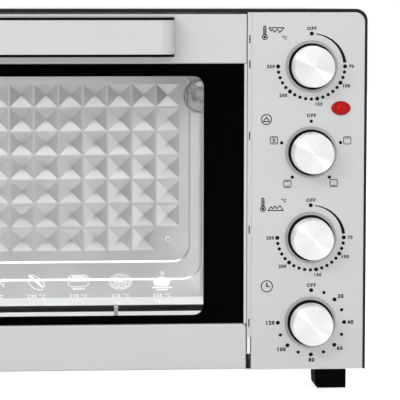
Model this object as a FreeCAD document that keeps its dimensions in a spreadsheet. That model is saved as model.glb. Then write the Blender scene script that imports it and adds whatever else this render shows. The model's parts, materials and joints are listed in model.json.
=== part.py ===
# Electric countertop oven, drawn in millimetres: Z is up, the door faces -Y, the controls are at +X.
# The origin is on the table, under the middle of the whole oven.
import FreeCAD, Part
import math
import operator
import os

import Sketcher

os.makedirs("parts", exist_ok=True)
doc = FreeCAD.newDocument("countertop_oven")

# Every driving size of the oven, in millimetres unless its name says degrees or count.
SIZES = {
    # Housing: heights named lift are counted from the underside of the body
    "body_width": 596,
    "body_height": 340,
    "body_depth": 375,
    "foot_height": 25.5,
    "cover_wall": 1.2,
    "cover_corner": 11.3,
    "cover_setback": 1,
    "rim_side": 2.4,
    "rim_top": 3.1,
    "rim_depth": 8,
    "rim_corner": 9.4,
    "plate_sheet": 1.2,
    "flange_depth": 12,
    "bay_corner": 6,
    "vent_width": 3,
    "vent_length": 32,
    "vent_pitch": 9,
    "vent_row_pitch": 44,
    "side_vent_drop": 124,
    "side_vent_rear": 60,
    "side_vent_count": 12,
    "side_vent_rows": 2,
    "base_vent_front": 90,
    "base_vent_side": 100,
    "base_vent_count": 8,
    "back_vent_inset": 90,
    "back_vent_lift": 120,
    "back_vent_count": 9,
    "back_vent_rows": 3,
    "shield_hole_radius": 9,
    # Screws
    "screw_radius": 1.8,
    "screw_gap": 0.1,
    "screw_rim": 1.9,
    "screw_head": 1.6,
    "screw_crown": 1.2,
    "screw_length": 9,
    "back_screw_inset": 13,
    "back_screw_low_lift": 20,
    "back_screw_high_drop": 22,
    # Control panel and what stands behind it
    "panel_width": 106,
    "panel_clearance": 0.2,
    "panel_wall": 1,
    "panel_depth": 10,
    "panel_edge_round": 0.6,
    "panel_hole_radius": 4,
    "panel_step_gap": 0.7,
    "panel_step_setback": 1,
    "panel_slot_width": 1.2,
    "panel_slot_length": 7.5,
    "panel_slot_lift": 44.8,
    "panel_slot_pitch": 88.4,
    "panel_slot_count": 3,
    "panel_slot_drop": 48.5,
    "panel_slot_high_pitch": 23.7,
    "bracket_half_width": 46,
    "bracket_setback": 12,
    "control_plate_half": 21,
    "control_plate_corner": 4,
    "control_bush_radius": 4.6,
    "control_bush_length": 4,
    "thermostat_depth": 22,
    "thermostat_radius": 19,
    "thermostat_step": 3,
    "switch_depth": 26,
    "timer_depth": 34,
    "timer_radius": 20,
    "bell_gap": 3,
    "bell_depth": 7,
    "bell_radius": 24,
    "bell_crown": 4,
    "bell_neck_radius": 4,
    "blade_spread": 9,
    "blade_length": 8,
    "blade_sheet": 0.8,
    "blade_width": 6.3,
    # Knobs
    "knob_first_lift": 44.8,
    "knob_last_drop": 50.4,
    "knob_axis_inset": 50.1,
    "knob_reach": 22,
    "knob_gap": 0.6,
    "dish_radius": 24.4,
    "dish_depth": 1.2,
    "dish_slope_degrees": 65,
    "skirt_depth": 5.6,
    "skirt_radius": 21.6,
    "skirt_edge": 0.8,
    "cap_radius": 19.5,
    "cap_face_radius": 18.2,
    "cap_bevel": 0.7,
    "shaft_radius": 3,
    "shaft_grip": 10,
    "shaft_depth": 12,
    "shaft_end_gap": 0.3,
    # Power lamp
    "lamp_inset": 22.3,
    "lamp_drop": 39.1,
    "lens_half_width": 9.05,
    "lens_half_height": 6.65,
    "lens_rise": 2.4,
    "lens_round": 1.8,
    "lens_end_radius": 5,
    "lens_dome_radius": 6.1,
    "lens_dome_rise": 4.4,
    "lamp_stem_radius": 5,
    "lamp_stem_length": 6,
    "lamp_body_radius": 6,
    "lamp_body_length": 24,
    # Supply inlet
    "cord_inset": 43,
    "cord_lift": 42,
    "cord_hole_radius": 4.2,
    "bushing_radius": 9,
    "bushing_rim": 3,
    "bushing_reach": 2,
    "bushing_inside": 6,
    "block_gap": 2,
    "block_depth": 16,
    "block_width": 42,
    "block_height": 24,
    "block_well": 8,
    "block_well_radius": 3.2,
    "block_well_count": 3,
    # Door
    "door_side_gap": 2,
    "hinge_gap": 4.7,
    "door_floor_gap": 0.9,
    "door_top_gap": 1.7,
    "door_corner": 8,
    "door_pan_depth": 22,
    "door_pan_wall": 1,
    "door_pan_round": 1.6,
    "door_top_panel_height": 46.2,
    "door_bottom_panel_height": 43.4,
    "bottom_panel_corner": 4.4,
    "side_trim_width": 2.4,
    "trim_setback": 0.3,
    "glass_setback": 0.6,
    "glass_thickness": 3.7,
    "glass_print": 0.3,
    "window_side_border": 40.15,
    "window_low_border": 8.2,
    "window_high_border": 11.8,
    "window_corner": 9.4,
    "door_sheet": 1.2,
    "door_back_setback": 24.8,
    "door_back_lift": 11.1,
    "door_seal_gap": 0.6,
    "ledge_width": 6,
    "ledge_window_margin": 2,
    "lug_height": 13,
    "lug_front": 8,
    # Handle
    "handle_side_gap": 67.55,
    "handle_reach": 28,
    "handle_bar": 7.2,
    "handle_leg": 11,
    "handle_end_round": 13.6,
    "handle_inner_round": 6,
    "handle_core_height": 36.3,
    "handle_strip_height": 31.2,
    "handle_strip_sheet": 1.2,
    "handle_drop": 21.2,
    "handle_screw_radius": 2,
    "handle_screw_inset": 6.1,
    "handle_screw_reach": 10,
    # Hinges
    "hinge_lift": 7.5,
    "hinge_depth": 14,
    "hinge_pin_radius": 2.2,
    "hinge_pin_reach": 7,
    "running_gap": 0.05,
    "knuckle_width": 3,
    "knuckle_height": 12.4,
    "knuckle_length": 13,
    "knuckle_shift": 1.7,
    "knuckle_round": 3,
    "knuckle_gap": 0.2,
    "hinge_ear_lift": 31,
    "hinge_ear_sheet": 1.9,
    "hinge_ear_step": 2,
    # Oven liner
    "cavity_side_gap": 7.15,
    "cavity_floor_rise": 20.3,
    "cavity_top_gap": 32.1,
    "cavity_rear_gap": 40,
    "liner_sheet": 0.8,
    "shield_gap": 21,
    "rail_first_lift": 58,
    "rail_end_gap": 18,
    "rail_height": 12,
    "rail_flat": 1,
    "rail_reach": 4,
    "rail_last_drop": 85.6,
    "rail_count": 3,
    "outer_step_side": 4,
    "outer_step_end": 18.8,
    "outer_step_corner": 25,
    "inner_step_side": 19,
    "inner_step_end": 38.2,
    "inner_step_corner": 19,
    "step_depth": 2.5,
    "step_slope_degrees": 40,
    "pyramid_margin": 7,
    "pyramid_pitch_wide": 26.9,
    "pyramid_pitch_high": 26.6,
    "pyramid_base": 24.8,
    "pyramid_depth": 6.5,
    "pyramid_point": 0.3,
    "cavity_screw_radius": 1.6,
    "cavity_screw_rim": 1,
    "cavity_screw_head": 1.2,
    "cavity_screw_length": 6,
    # Heating rods
    "rod_radius": 3.25,
    "rod_bend": 22,
    "rod_end_gap": 22,
    "rod_sheath_reach": 3,
    "lower_rod_lift": 18,
    "lower_rod_front": 65,
    "lower_rod_rear": 140,
    "upper_rod_drop": 20,
    "upper_rod_front": 110,
    "upper_rod_rear": 250,
    "terminal_pin_length": 6,
    "terminal_pin_radius": 1.6,
    "insulator_length": 5,
    "insulator_radius": 7,
    "insulator_step": 1.5,
    "clip_offset": 120.15,
    "clip_width": 4,
    "clip_sheet": 1.2,
    # Oven lamp
    "oven_lamp_inset": 55,
    "oven_lamp_drop": 62.5,
    "lamp_flange": 1.5,
    "lamp_flange_radius": 21,
    "lamp_neck_radius": 15,
    "lamp_glass_radius": 18.5,
    "lamp_glass_reach": 30,
    "lamp_glass_wall": 2,
    "socket_length": 30,
    "socket_radius": 14,
    "socket_floor": 3,
    "socket_gap": 0.2,
    "bulb_base_radius": 6,
    "bulb_neck": 4,
    "bulb_radius": 8,
    "bulb_reach": 22,
    # Fan
    "fan_depth": 190,
    "fan_radius": 54,
    "fan_sheet": 1.2,
    "fan_gap": 2,
    "fan_hub_radius": 7,
    "fan_hub_length": 10,
    "fan_blade_height": 10,
    "fan_blade_inner": 12,
    "fan_blade_outer": 52,
    "fan_blade_lean": 6,
    "fan_blade_count": 8,
    "fan_shaft_radius": 2.5,
    "fan_shaft_hole": 6,
    "fan_housing_radius": 60,
    "fan_housing_rim": 8,
    "perforation_pitch": 11.5,
    "perforation_radius": 3,
    "perforation_inner_count": 6,
    "perforation_outer_count": 12,
    "motor_core": 22,
    "motor_hump": 12,
    "motor_half_width": 27,
    "motor_corner": 5,
    "motor_coil_half": 14,
    "motor_coil_drop": 14,
    "motor_coil_inset": 4,
    "motor_hump_radius": 15,
    "motor_end_wall": 2,
    # Thermostat sensors
    "sensor_depth": 205,
    "sensor_lift": 34,
    "sensor_gap": 6,
    "sensor_radius": 2.5,
    "sensor_length": 50,
    "capillary_radius": 1,
    "capillary_reach": 12,
    # Feet
    "foot_inset": 26.4,
    "foot_width": 30.4,
    "foot_length": 30,
    "foot_front": 44,
    "foot_rear": 34,
    "foot_slope": 1.2,
    "foot_chamfer": 2,
    "foot_sole_offset": 4.8,
    "foot_screw_radius": 2,
    "foot_screw_head": 3,
    "foot_screw_head_radius": 4,
    "foot_screw_end": 4,
    "pad_height": 4,
    "pad_recess": 2.1,
    "pad_radius": 6.5,
    "pad_edge": 0.8,
}

sheet = doc.addObject("Spreadsheet::Sheet", "Size")


def fill_sheet(sizes):
    """Write each size as a plain number beside its name, with the name as the cell's alias."""
    for row, (alias, value) in enumerate(sizes.items(), start=1):
        sheet.set(f"A{row}", alias)
        sheet.set(f"B{row}", str(value))
        sheet.setAlias(f"B{row}", alias)
    doc.recompute()


class Length:
    """A size worked out from the sheet: its number today, and the formula that keeps it bound."""

    def __init__(self, value, text):
        self.value = value
        self.text = text

    def __add__(self, other):
        return combine(self, "+", other)

    def __radd__(self, other):
        return combine(other, "+", self)

    def __sub__(self, other):
        return combine(self, "-", other)

    def __rsub__(self, other):
        return combine(other, "-", self)

    def __mul__(self, other):
        return combine(self, "*", other)

    def __rmul__(self, other):
        return combine(other, "*", self)

    def __truediv__(self, other):
        return combine(self, "/", other)

    def __neg__(self):
        return combine(0, "-", self)


OPERATIONS = {"+": operator.add, "-": operator.sub, "*": operator.mul, "/": operator.truediv}


def as_length(thing):
    """A plain number is a formula too."""
    if isinstance(thing, Length):
        return thing
    return Length(float(thing), str(float(thing)))


def combine(left, sign, right):
    """Join two formulas with a sign."""
    left = as_length(left)
    right = as_length(right)
    value = OPERATIONS[sign](left.value, right.value)
    return Length(value, f"({left.text} {sign} {right.text})")


def whole(length):
    """The whole number of times that fits, for counting what repeats."""
    return Length(float(math.floor(length.value)), f"floor({length.text})")


class SheetSizes:
    """Reads a size from the sheet by its name, as in s.body_width."""

    def __getattr__(self, alias):
        return Length(float(getattr(sheet, alias)), f"Size.{alias}")


s = SheetSizes()

# Bodies, sketches and features
ORIGIN_POINT = (-1, 1)
PLANE_AXES = {"XY": "xyz", "XZ": "xzy", "YZ": "yzx"}


def bind(target, path, length):
    """Tie a property or constraint to its formula."""
    target.setExpression(path, as_length(length).text)


def new_body(label):
    """A sub-part, named as its file will be."""
    body = doc.addObject("PartDesign::Body", label)
    body.Label = label
    body.AllowCompound = True
    return body


def place_sketch(body, plane, x=0, y=0, z=0):
    """A sketch on one of the body's own origin planes, with its zero point moved to x, y, z."""
    sketch = body.newObject("Sketcher::SketchObject", f"{body.Name}_sketch")
    support = next(item for item in body.Origin.OriginFeatures if item.Role == f"{plane}_Plane")
    sketch.AttachmentSupport = [(support, "")]
    sketch.MapMode = "FlatFace"
    place = {"x": x, "y": y, "z": z}
    across, along, normal = PLANE_AXES[plane]
    bind(sketch, "AttachmentOffset.Base.x", place[across])
    bind(sketch, "AttachmentOffset.Base.y", place[along])
    bind(sketch, "AttachmentOffset.Base.z", -place[normal] if plane == "XZ" else place[normal])
    return sketch


def vector(x, y):
    return FreeCAD.Vector(as_length(x).value, as_length(y).value, 0)


def arc_between(start, end, radius):
    """The short arc from start to end: counter-clockwise for a radius above zero, clockwise below."""
    middle = (start + end) / 2
    chord = end - start
    half = chord.Length / 2
    rise = math.sqrt(max(radius * radius - half * half, 0))
    left = FreeCAD.Vector(-chord.y, chord.x, 0).normalize()
    centre = middle + left * (rise if radius > 0 else -rise)
    first, last = (start, end) if radius > 0 else (end, start)
    angles = [math.atan2(point.y - centre.y, point.x - centre.x) for point in (first, last)]
    circle = Part.Circle(centre, FreeCAD.Vector(0, 0, 1), abs(radius))
    return Part.ArcOfCircle(circle, angles[0], angles[1])


class Drawing:
    """Gathers a sketch's edges and constraints, so that the sketch is solved once."""

    def __init__(self, sketch):
        self.sketch = sketch
        self.edges = []
        self.constraints = []
        self.formulas = {}

    def hold(self, kind, places, length):
        """Add a constraint whose size follows a formula."""
        length = as_length(length)
        self.formulas[len(self.constraints)] = length
        self.constraints.append(Sketcher.Constraint(kind, *places, length.value))

    def hold_point(self, edge, position, x, y):
        self.hold("DistanceX", (*ORIGIN_POINT, edge, position), x)
        self.hold("DistanceY", (*ORIGIN_POINT, edge, position), y)

    def circle(self, x, y, radius):
        edge = len(self.edges)
        self.edges.append(Part.Circle(vector(x, y), FreeCAD.Vector(0, 0, 1), as_length(radius).value))
        self.hold_point(edge, 3, x, y)
        self.hold("Radius", (edge,), radius)

    def outline(self, corners, closed=True):
        """Straight edges from corner to corner; a corner's third value rounds the way to the next."""
        base = len(self.edges)
        count = len(corners) if closed else len(corners) - 1
        ends = []
        for index in range(count):
            corner = corners[index]
            following = corners[(index + 1) % len(corners)]
            start = vector(*corner[:2])
            end = vector(*following[:2])
            edge = base + index
            if len(corner) == 2:
                self.edges.append(Part.LineSegment(start, end))
                ends.append((edge, 1, 2))
            else:
                radius = as_length(corner[2])
                self.edges.append(arc_between(start, end, radius.value))
                ends.append((edge, 1, 2) if radius.value > 0 else (edge, 2, 1))
                self.hold("Radius", (edge,), radius if radius.value > 0 else -radius)
        for index, (edge, start, end) in enumerate(ends):
            self.hold_point(edge, start, *corners[index][:2])
            if closed or index:
                before, _, before_end = ends[index - 1]
                self.constraints.append(Sketcher.Constraint("Coincident", before, before_end, edge, start))
        if not closed:
            edge, _, end = ends[-1]
            self.hold_point(edge, end, *corners[-1][:2])

    def finish(self):
        self.sketch.addGeometry(self.edges, False)
        self.sketch.addConstraint(self.constraints)
        for index, length in self.formulas.items():
            bind(self.sketch, f"Constraints[{index}]", length)


def draw(sketch, loops):
    """Draw closed loops: a list of corners, or a circle as (x, y, radius)."""
    drawing = Drawing(sketch)
    for loop in loops:
        if isinstance(loop, list):
            drawing.outline(loop)
        else:
            drawing.circle(*loop)
    drawing.finish()
    return sketch


def rectangle(left, right, low, high):
    return [(left, low), (right, low), (right, high), (left, high)]


def rounded(left, right, low, high, radius):
    """A rectangle with four round corners."""
    return [(left + radius, low), (right - radius, low, radius), (right, low + radius),
            (right, high - radius, radius), (right - radius, high), (left + radius, high, radius),
            (left, high - radius), (left, low + radius, radius)]


def oval(x, y, half_wide, half_high, end_radius):
    """Four arcs that meet without a corner: two small ends and two flatter sides."""
    reach = half_wide - end_radius
    side_radius = (reach * reach + half_high * half_high - end_radius * end_radius) / (
        (half_high - end_radius) * 2)
    share = side_radius / (side_radius - end_radius)
    across = reach * share
    along_side = half_high - side_radius + (side_radius - half_high) * share
    return [(x + across, y - along_side, end_radius), (x + across, y + along_side, side_radius),
            (x - across, y + along_side, end_radius), (x - across, y - along_side, side_radius)]


def between(plane, axis_value):
    """Where a sketch on this plane goes along the plane's normal."""
    return {PLANE_AXES[plane][2]: axis_value}


def add(body, plane, start, end, *loops, taper=None):
    """Fill the loops from start to end along the plane's normal axis."""
    sketch = draw(place_sketch(body, plane, **between(plane, start)), loops)
    pad = body.newObject("PartDesign::Pad", f"{body.Name}_pad")
    pad.Profile = sketch
    pad.Reversed = plane == "XZ"
    bind(pad, "Length", end - start)
    if taper is not None:
        bind(pad, "TaperAngle", taper)
    sketch.Visibility = False
    return pad


def cut(body, plane, start, end, *loops, taper=None):
    """Cut the loops away from start to end along the plane's normal axis."""
    sketch = draw(place_sketch(body, plane, **between(plane, start)), loops)
    pocket = body.newObject("PartDesign::Pocket", f"{body.Name}_pocket")
    pocket.Profile = sketch
    pocket.Reversed = plane != "XZ"
    bind(pocket, "Length", end - start)
    if taper is not None:
        bind(pocket, "TaperAngle", taper)
    return pocket


def turn(body, plane, origin, corners, remove=False):
    """Spin a half profile about the sketch's own horizontal axis, whose zero point is at origin."""
    sketch = draw(place_sketch(body, plane, *origin), [corners])
    kind = "Groove" if remove else "Revolution"
    feature = body.newObject(f"PartDesign::{kind}", f"{body.Name}_{kind.lower()}")
    feature.Profile = sketch
    feature.ReferenceAxis = (sketch, ["H_Axis"])
    feature.Angle = 360
    return feature


def repeat(body, features, axis, span, count, second=None):
    """Repeat features in a row, or in rows when a second (axis, span, count) is given."""
    sketch = features[0].Profile[0]
    pattern = body.newObject("PartDesign::LinearPattern", f"{body.Name}_row")
    pattern.Originals = features
    pattern.Direction = (sketch, [f"{axis}_Axis"])
    bind(pattern, "Length", span)
    bind(pattern, "Occurrences", count)
    if second:
        axis2, span2, count2 = second
        pattern.Direction2 = (sketch, [f"{axis2}_Axis"])
        bind(pattern, "Length2", span2)
        bind(pattern, "Occurrences2", count2)
    body.Tip = pattern
    return pattern


def repeat_round(body, features, sketch, count):
    """Repeat features evenly about the sketch's own horizontal axis."""
    pattern = body.newObject("PartDesign::PolarPattern", f"{body.Name}_ring")
    pattern.Originals = features
    pattern.Axis = (sketch, ["H_Axis"])
    pattern.Angle = 360
    bind(pattern, "Occurrences", count)
    body.Tip = pattern
    return pattern


def soften(body, kind, size, choose):
    """Fillet or chamfer the edges of the body's last feature that a rule picks."""
    doc.recompute()
    base = body.Tip
    edges = base.Shape.Edges
    names = [f"Edge{number}" for number, edge in enumerate(edges, start=1) if choose(edge)]
    feature = body.newObject(f"PartDesign::{kind}", f"{body.Name}_{kind.lower()}")
    feature.Base = (base, names)
    bind(feature, "Radius" if kind == "Fillet" else "Size", size)
    return feature


fill_sheet(SIZES)

# Places that several pieces share
half_width = s.body_width / 2
front = (s.handle_reach - s.body_depth - s.bushing_reach) / 2
rear = front + s.body_depth
under = s.foot_height
top = s.foot_height + s.body_height
inner_x = half_width - s.cover_wall
inner_top = top - s.cover_wall

panel_right = half_width - s.rim_side - s.panel_clearance
panel_left = panel_right - s.panel_width
panel_top = top - s.rim_top - s.panel_clearance
panel_bottom = under + s.plate_sheet
panel_back = front + s.panel_wall
control_back = front + s.bracket_setback + s.plate_sheet
knob_x = panel_right - s.knob_axis_inset
knob_first = under + s.knob_first_lift
knob_last = panel_top - s.knob_last_drop
knob_span = knob_last - knob_first
lamp_x = panel_right - s.lamp_inset
lamp_z = knob_last - s.lamp_drop
cord_x = half_width - s.cord_inset
cord_z = under + s.cord_lift

door_left = -(half_width - s.rim_side - s.door_side_gap)
door_right = panel_left - s.hinge_gap
door_middle = (door_left + door_right) / 2
door_bottom = under + s.door_floor_gap
door_top = top - s.rim_top - s.door_top_gap
glass_top = door_top - s.door_top_panel_height
glass_bottom = door_bottom + s.door_bottom_panel_height
window_left = door_left + s.window_side_border
window_right = door_right - s.window_side_border
window_bottom = glass_bottom + s.window_low_border
window_top = glass_top - s.window_high_border
handle_z = door_top - s.handle_drop
handle_half = (door_right - door_left) / 2 - s.handle_side_gap
handle_screw_x = [door_middle + (handle_half - s.handle_screw_inset) * side for side in (-1, 1)]
hinge_y = front + s.hinge_depth
hinge_z = under + s.hinge_lift

frame_front = front + s.door_back_setback + s.door_sheet + s.door_seal_gap
frame_back = frame_front + s.plate_sheet
cavity_left = door_left + s.cavity_side_gap
cavity_right = door_right - s.cavity_side_gap
cavity_floor = under + s.cavity_floor_rise
cavity_top = top - s.cavity_top_gap
cavity_middle = (cavity_floor + cavity_top) / 2
cavity_half_width = (cavity_right - cavity_left) / 2
cavity_half_height = (cavity_top - cavity_floor) / 2
cavity_back = rear - s.cavity_rear_gap
liner_left = cavity_left - s.liner_sheet
liner_right = cavity_right + s.liner_sheet
liner_floor = cavity_floor - s.liner_sheet
liner_top = cavity_top + s.liner_sheet
cover_front = front + s.cover_setback
shield_left = liner_right + s.shield_gap
shield_right = shield_left + s.plate_sheet

inner_step_half_width = cavity_half_width - s.inner_step_side
inner_step_half_height = cavity_half_height - s.inner_step_end
pyramid_columns = whole((inner_step_half_width - s.pyramid_margin) * 2 / s.pyramid_pitch_wide)
pyramid_rows = whole((inner_step_half_height - s.pyramid_margin) * 2 / s.pyramid_pitch_high)
pyramid_reach = s.pyramid_pitch_wide * (pyramid_columns - 1) / 2
pyramid_left = door_middle - pyramid_reach
pyramid_right = door_middle + pyramid_reach
pyramid_low = cavity_middle - s.pyramid_pitch_high * (pyramid_rows - 1) / 2

rail_first = cavity_floor + s.rail_first_lift
rail_last = cavity_top - s.rail_last_drop - s.rail_height
rail_pitch = (rail_last - rail_first) / (s.rail_count - 1)
fan_y = front + s.fan_depth
fan_z = rail_last + s.rail_height / 2 - rail_pitch / 2
oven_lamp_y = cavity_back - s.oven_lamp_inset
oven_lamp_z = cavity_top - s.oven_lamp_drop
rod_hole = s.rod_radius + s.screw_gap
HEATERS = {
    "lower_heater": (cavity_floor + s.lower_rod_lift, front + s.lower_rod_front, front + s.lower_rod_rear),
    "upper_heater": (cavity_top - s.upper_rod_drop, front + s.upper_rod_front, front + s.upper_rod_rear),
}
sensor_heights = (cavity_floor + s.sensor_lift, cavity_top - s.sensor_lift)

foot_x = panel_right - s.foot_inset
foot_screw_x = (-(foot_x + s.foot_sole_offset), foot_x + s.foot_sole_offset)
foot_y = (front + s.foot_front, rear - s.foot_rear)
back_screw_reach = half_width - s.back_screw_inset
back_screw_x = (-back_screw_reach, back_screw_reach)
back_screw_z = (under + s.back_screw_low_lift, top - s.back_screw_high_drop)

# Flat bands that the oven lamp's glass is moulded with, from its rim to its tip
DOME_BANDS = 5

# Each knob and its place in the column, counted from the lowest
KNOBS = {"timer_knob": 0, "lower_temperature_knob": 1, "function_knob": 2, "upper_temperature_knob": 3}


def in_front_plane(edge, tolerance=1e-4):
    """Whether an edge lies in the plane of the door and the fascia."""
    return all(abs(point.Point.y - front.value) < tolerance for point in edge.Vertexes)


def shoulders(left, right, low, high, left_corner, right_corner):
    """A rectangle whose top left and top right corners are rounded where a radius is given."""
    outline = [(left, low), (right, low)]
    if right_corner is None:
        outline += [(right, high)]
    else:
        outline += [(right, high - right_corner, right_corner), (right - right_corner, high)]
    if left_corner is None:
        outline += [(left, high)]
    else:
        outline += [(left + left_corner, high, left_corner), (left, high - left_corner)]
    return outline


def arch(side, high, low, radius):
    """An upside-down U outline, open at the bottom: up the right side, over, and down the left."""
    return [(side, low), (side, high - radius, radius), (side - radius, high),
            (radius - side, high, radius), (-side, high - radius), (-side, low)]


def arch_inside(side, high, low, radius):
    """The same way back inside the U: up the left side, over, and down the right."""
    return [(-side, low), (-side, high - radius, -radius), (radius - side, high),
            (side - radius, high, -radius), (side, high - radius), (side, low)]


def make_housing_cover():
    """Painted sheet wrapped over the top and both sides, with a thick hem along its front edge."""
    body = new_body("housing_cover")
    inner_radius = s.cover_corner - s.cover_wall
    outside = arch(half_width, top, under, s.cover_corner)
    wrap = outside + arch_inside(inner_x, inner_top, under, inner_radius)
    hem = outside + arch_inside(half_width - s.rim_side, top - s.rim_top, under, s.rim_corner)
    add(body, "XZ", cover_front, rear, wrap)
    add(body, "XZ", cover_front, cover_front + s.rim_depth, hem)
    last_slot = rear - s.side_vent_rear
    low = top - s.side_vent_drop
    slot = rectangle(last_slot, last_slot + s.vent_width, low, low + s.vent_length)
    slots = cut(body, "YZ", -half_width, half_width, slot)
    row = s.vent_pitch * (s.side_vent_count - 1)
    pattern = repeat(body, [slots], "H", row, s.side_vent_count, ("V", s.vent_row_pitch, s.side_vent_rows))
    pattern.Reversed = True


def make_base_plate():
    """Bottom sheet: it stops behind the door, and reaches to the front under the controls."""
    body = new_body("base_plate")
    step = door_right + s.knuckle_gap
    hem_x = half_width - s.rim_side
    hem_back = cover_front + s.rim_depth
    outline = [(-inner_x, frame_front), (step, frame_front), (step, panel_back), (hem_x, panel_back),
               (hem_x, hem_back), (inner_x, hem_back), (inner_x, rear), (-inner_x, rear)]
    add(body, "XY", under, under + s.plate_sheet, outline)
    vent_left = -s.base_vent_side
    vent_front = front + s.base_vent_front
    vent = rectangle(vent_left, vent_left + s.vent_length, vent_front, vent_front + s.vent_width)
    vents = cut(body, "XY", under, under + s.plate_sheet, vent)
    row = s.vent_pitch * (s.base_vent_count - 1)
    repeat(body, [vents], "V", row, s.base_vent_count, ("H", s.base_vent_side * 2 - s.vent_length, 2))
    holes = [(x, y, s.foot_screw_radius + s.screw_gap) for x in foot_screw_x for y in foot_y]
    cut(body, "XY", under, under + s.plate_sheet, *holes)


def make_back_cover():
    """Rear sheet folded into a shallow tray, with vents and the hole of the cord's bushing."""
    body = new_body("back_cover")
    radius = s.cover_corner - s.cover_wall
    low = under + s.plate_sheet
    sheet_front = rear - s.plate_sheet
    flange_front = sheet_front - s.flange_depth
    outside = arch(inner_x, inner_top, low, radius)
    side = inner_x - s.plate_sheet
    inside = arch_inside(side, inner_top - s.plate_sheet, low, radius - s.plate_sheet)
    add(body, "XZ", sheet_front, rear, outside)
    add(body, "XZ", flange_front, sheet_front, outside + inside)
    vent_low = under + s.back_vent_lift
    vent_left = half_width - s.back_vent_inset
    slot = rectangle(vent_left, vent_left + s.vent_width, vent_low, vent_low + s.vent_length)
    slots = cut(body, "XZ", sheet_front, rear, slot)
    row = s.vent_pitch * (s.back_vent_count - 1)
    repeat(body, [slots], "H", row, s.back_vent_count, ("V", s.vent_row_pitch, s.back_vent_rows))
    screws = [(x, z, s.screw_radius + s.screw_gap) for x in back_screw_x for z in back_screw_z]
    cut(body, "XZ", sheet_front, rear, (cord_x, cord_z, s.bushing_radius), *screws)


def make_front_frame():
    """Steel plate behind the door: it carries the oven's liner and leaves the control bay open."""
    body = new_body("front_frame")
    radius = s.cover_corner - s.cover_wall
    low = under + s.plate_sheet
    outside = arch(inner_x, inner_top, low, radius)
    mouth = rectangle(cavity_left, cavity_right, cavity_floor, cavity_top)
    bay = rounded(shield_right, inner_x - s.flange_depth, low + s.flange_depth,
                  inner_top - s.flange_depth, s.bay_corner)
    add(body, "XZ", frame_front, frame_back, outside, mouth, bay)
    side = inner_x - s.plate_sheet
    inside = arch_inside(side, inner_top - s.plate_sheet, low, radius - s.plate_sheet)
    add(body, "XZ", frame_back, frame_back + s.flange_depth, outside + inside)


def make_control_panel():
    """Brushed steel fascia: a shallow pan with a pressed dish behind each knob."""
    body = new_body("control_panel")
    back = front + s.panel_depth
    corner = s.rim_corner - s.panel_clearance
    outline = shoulders(panel_left, panel_right, panel_bottom, panel_top, None, corner)
    add(body, "XZ", front, back, outline)
    soften(body, "Fillet", s.panel_edge_round, in_front_plane)
    wall = s.panel_wall
    hollow = shoulders(panel_left + wall, panel_right - wall, panel_bottom + wall, panel_top - wall,
                       None, corner - wall)
    cut(body, "XZ", panel_back, back, hollow)
    dish_back = panel_back + s.dish_depth
    dish = s.dish_radius
    backs = add(body, "XZ", panel_back, dish_back, (knob_x, knob_first, dish + wall))
    dishes = cut(body, "XZ", front, front + s.dish_depth, (knob_x, knob_first, dish),
                 taper=-s.dish_slope_degrees)
    holes = cut(body, "XZ", front, dish_back, (knob_x, knob_first, s.panel_hole_radius))
    repeat(body, [backs, dishes, holes], "V", knob_span, len(KNOBS))
    cut(body, "XZ", front, panel_back, (lamp_x, lamp_z, s.lamp_stem_radius + s.screw_gap))
    fold_panel_step(body)


def fold_panel_step(body):
    """Stepped edge of the fascia that fills the gap beside the door, with slots for its clips."""
    wall = s.panel_wall
    step_front = front + s.panel_step_setback
    step_back = front + s.panel_depth
    left = door_right + s.panel_step_gap
    low = under + s.hinge_ear_lift + s.panel_step_gap
    add(body, "XZ", step_front, step_back, rectangle(left, panel_left + wall, low, panel_top))
    cut(body, "XZ", step_front + wall, step_back, rectangle(left + wall, panel_left, low, panel_top))
    middle = (left + panel_left) / 2
    slot_left = middle - s.panel_slot_width / 2
    slot_right = middle + s.panel_slot_width / 2
    half = s.panel_slot_length / 2
    first = under + s.panel_slot_lift
    last = panel_top - s.panel_slot_drop
    rows = ((first, s.panel_slot_pitch * (s.panel_slot_count - 1), s.panel_slot_count),
            (last, s.panel_slot_high_pitch, as_length(2)))
    for z, span, count in rows:
        outline = rectangle(slot_left, slot_right, z - half, z + half)
        slot = cut(body, "XZ", step_front, step_front + wall, outline)
        repeat(body, [slot], "V", span, count)


def make_control_bracket():
    """Steel channel behind the fascia, to which the four controls are screwed."""
    body = new_body("control_bracket")
    left = knob_x - s.bracket_half_width
    right = knob_x + s.bracket_half_width
    back = front + s.bracket_setback + s.plate_sheet
    wall = s.plate_sheet
    web = back - wall
    channel = [(left, panel_back), (left + wall, panel_back), (left + wall, web), (right - wall, web),
               (right - wall, panel_back), (right, panel_back), (right, back), (left, back)]
    low = panel_bottom + s.panel_wall + s.panel_clearance
    high = panel_top - s.rim_corner
    add(body, "XY", low, high, channel)
    bush = cut(body, "XZ", web, back, (knob_x, knob_first, s.control_bush_radius + s.screw_gap))
    repeat(body, [bush], "V", knob_span, len(KNOBS))
    cut(body, "XZ", web, back, (lamp_x, lamp_z, s.lamp_body_radius + s.screw_gap))


def make_heat_shield():
    """Upright sheet between the oven's liner and the controls, with the motor and lamp passing it."""
    body = new_body("heat_shield")
    outline = rectangle(frame_back, rear - s.plate_sheet - s.flange_depth,
                        under + s.plate_sheet, inner_top - s.plate_sheet)
    add(body, "YZ", shield_left, shield_right, outline)
    cut(body, "YZ", shield_left, shield_right, (fan_y, fan_z, s.shield_hole_radius),
        (oven_lamp_y, oven_lamp_z, s.socket_radius + s.socket_gap))


def make_cavity_floor():
    """Liner sheet that forms the oven's floor."""
    body = new_body("cavity_floor")
    add(body, "XY", liner_floor, cavity_floor, rectangle(cavity_left, cavity_right, frame_back, cavity_back))


def make_cavity_ceiling():
    """Liner sheet that closes the oven at the top."""
    body = new_body("cavity_ceiling")
    add(body, "XY", cavity_top, liner_top, rectangle(cavity_left, cavity_right, frame_back, cavity_back))


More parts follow.
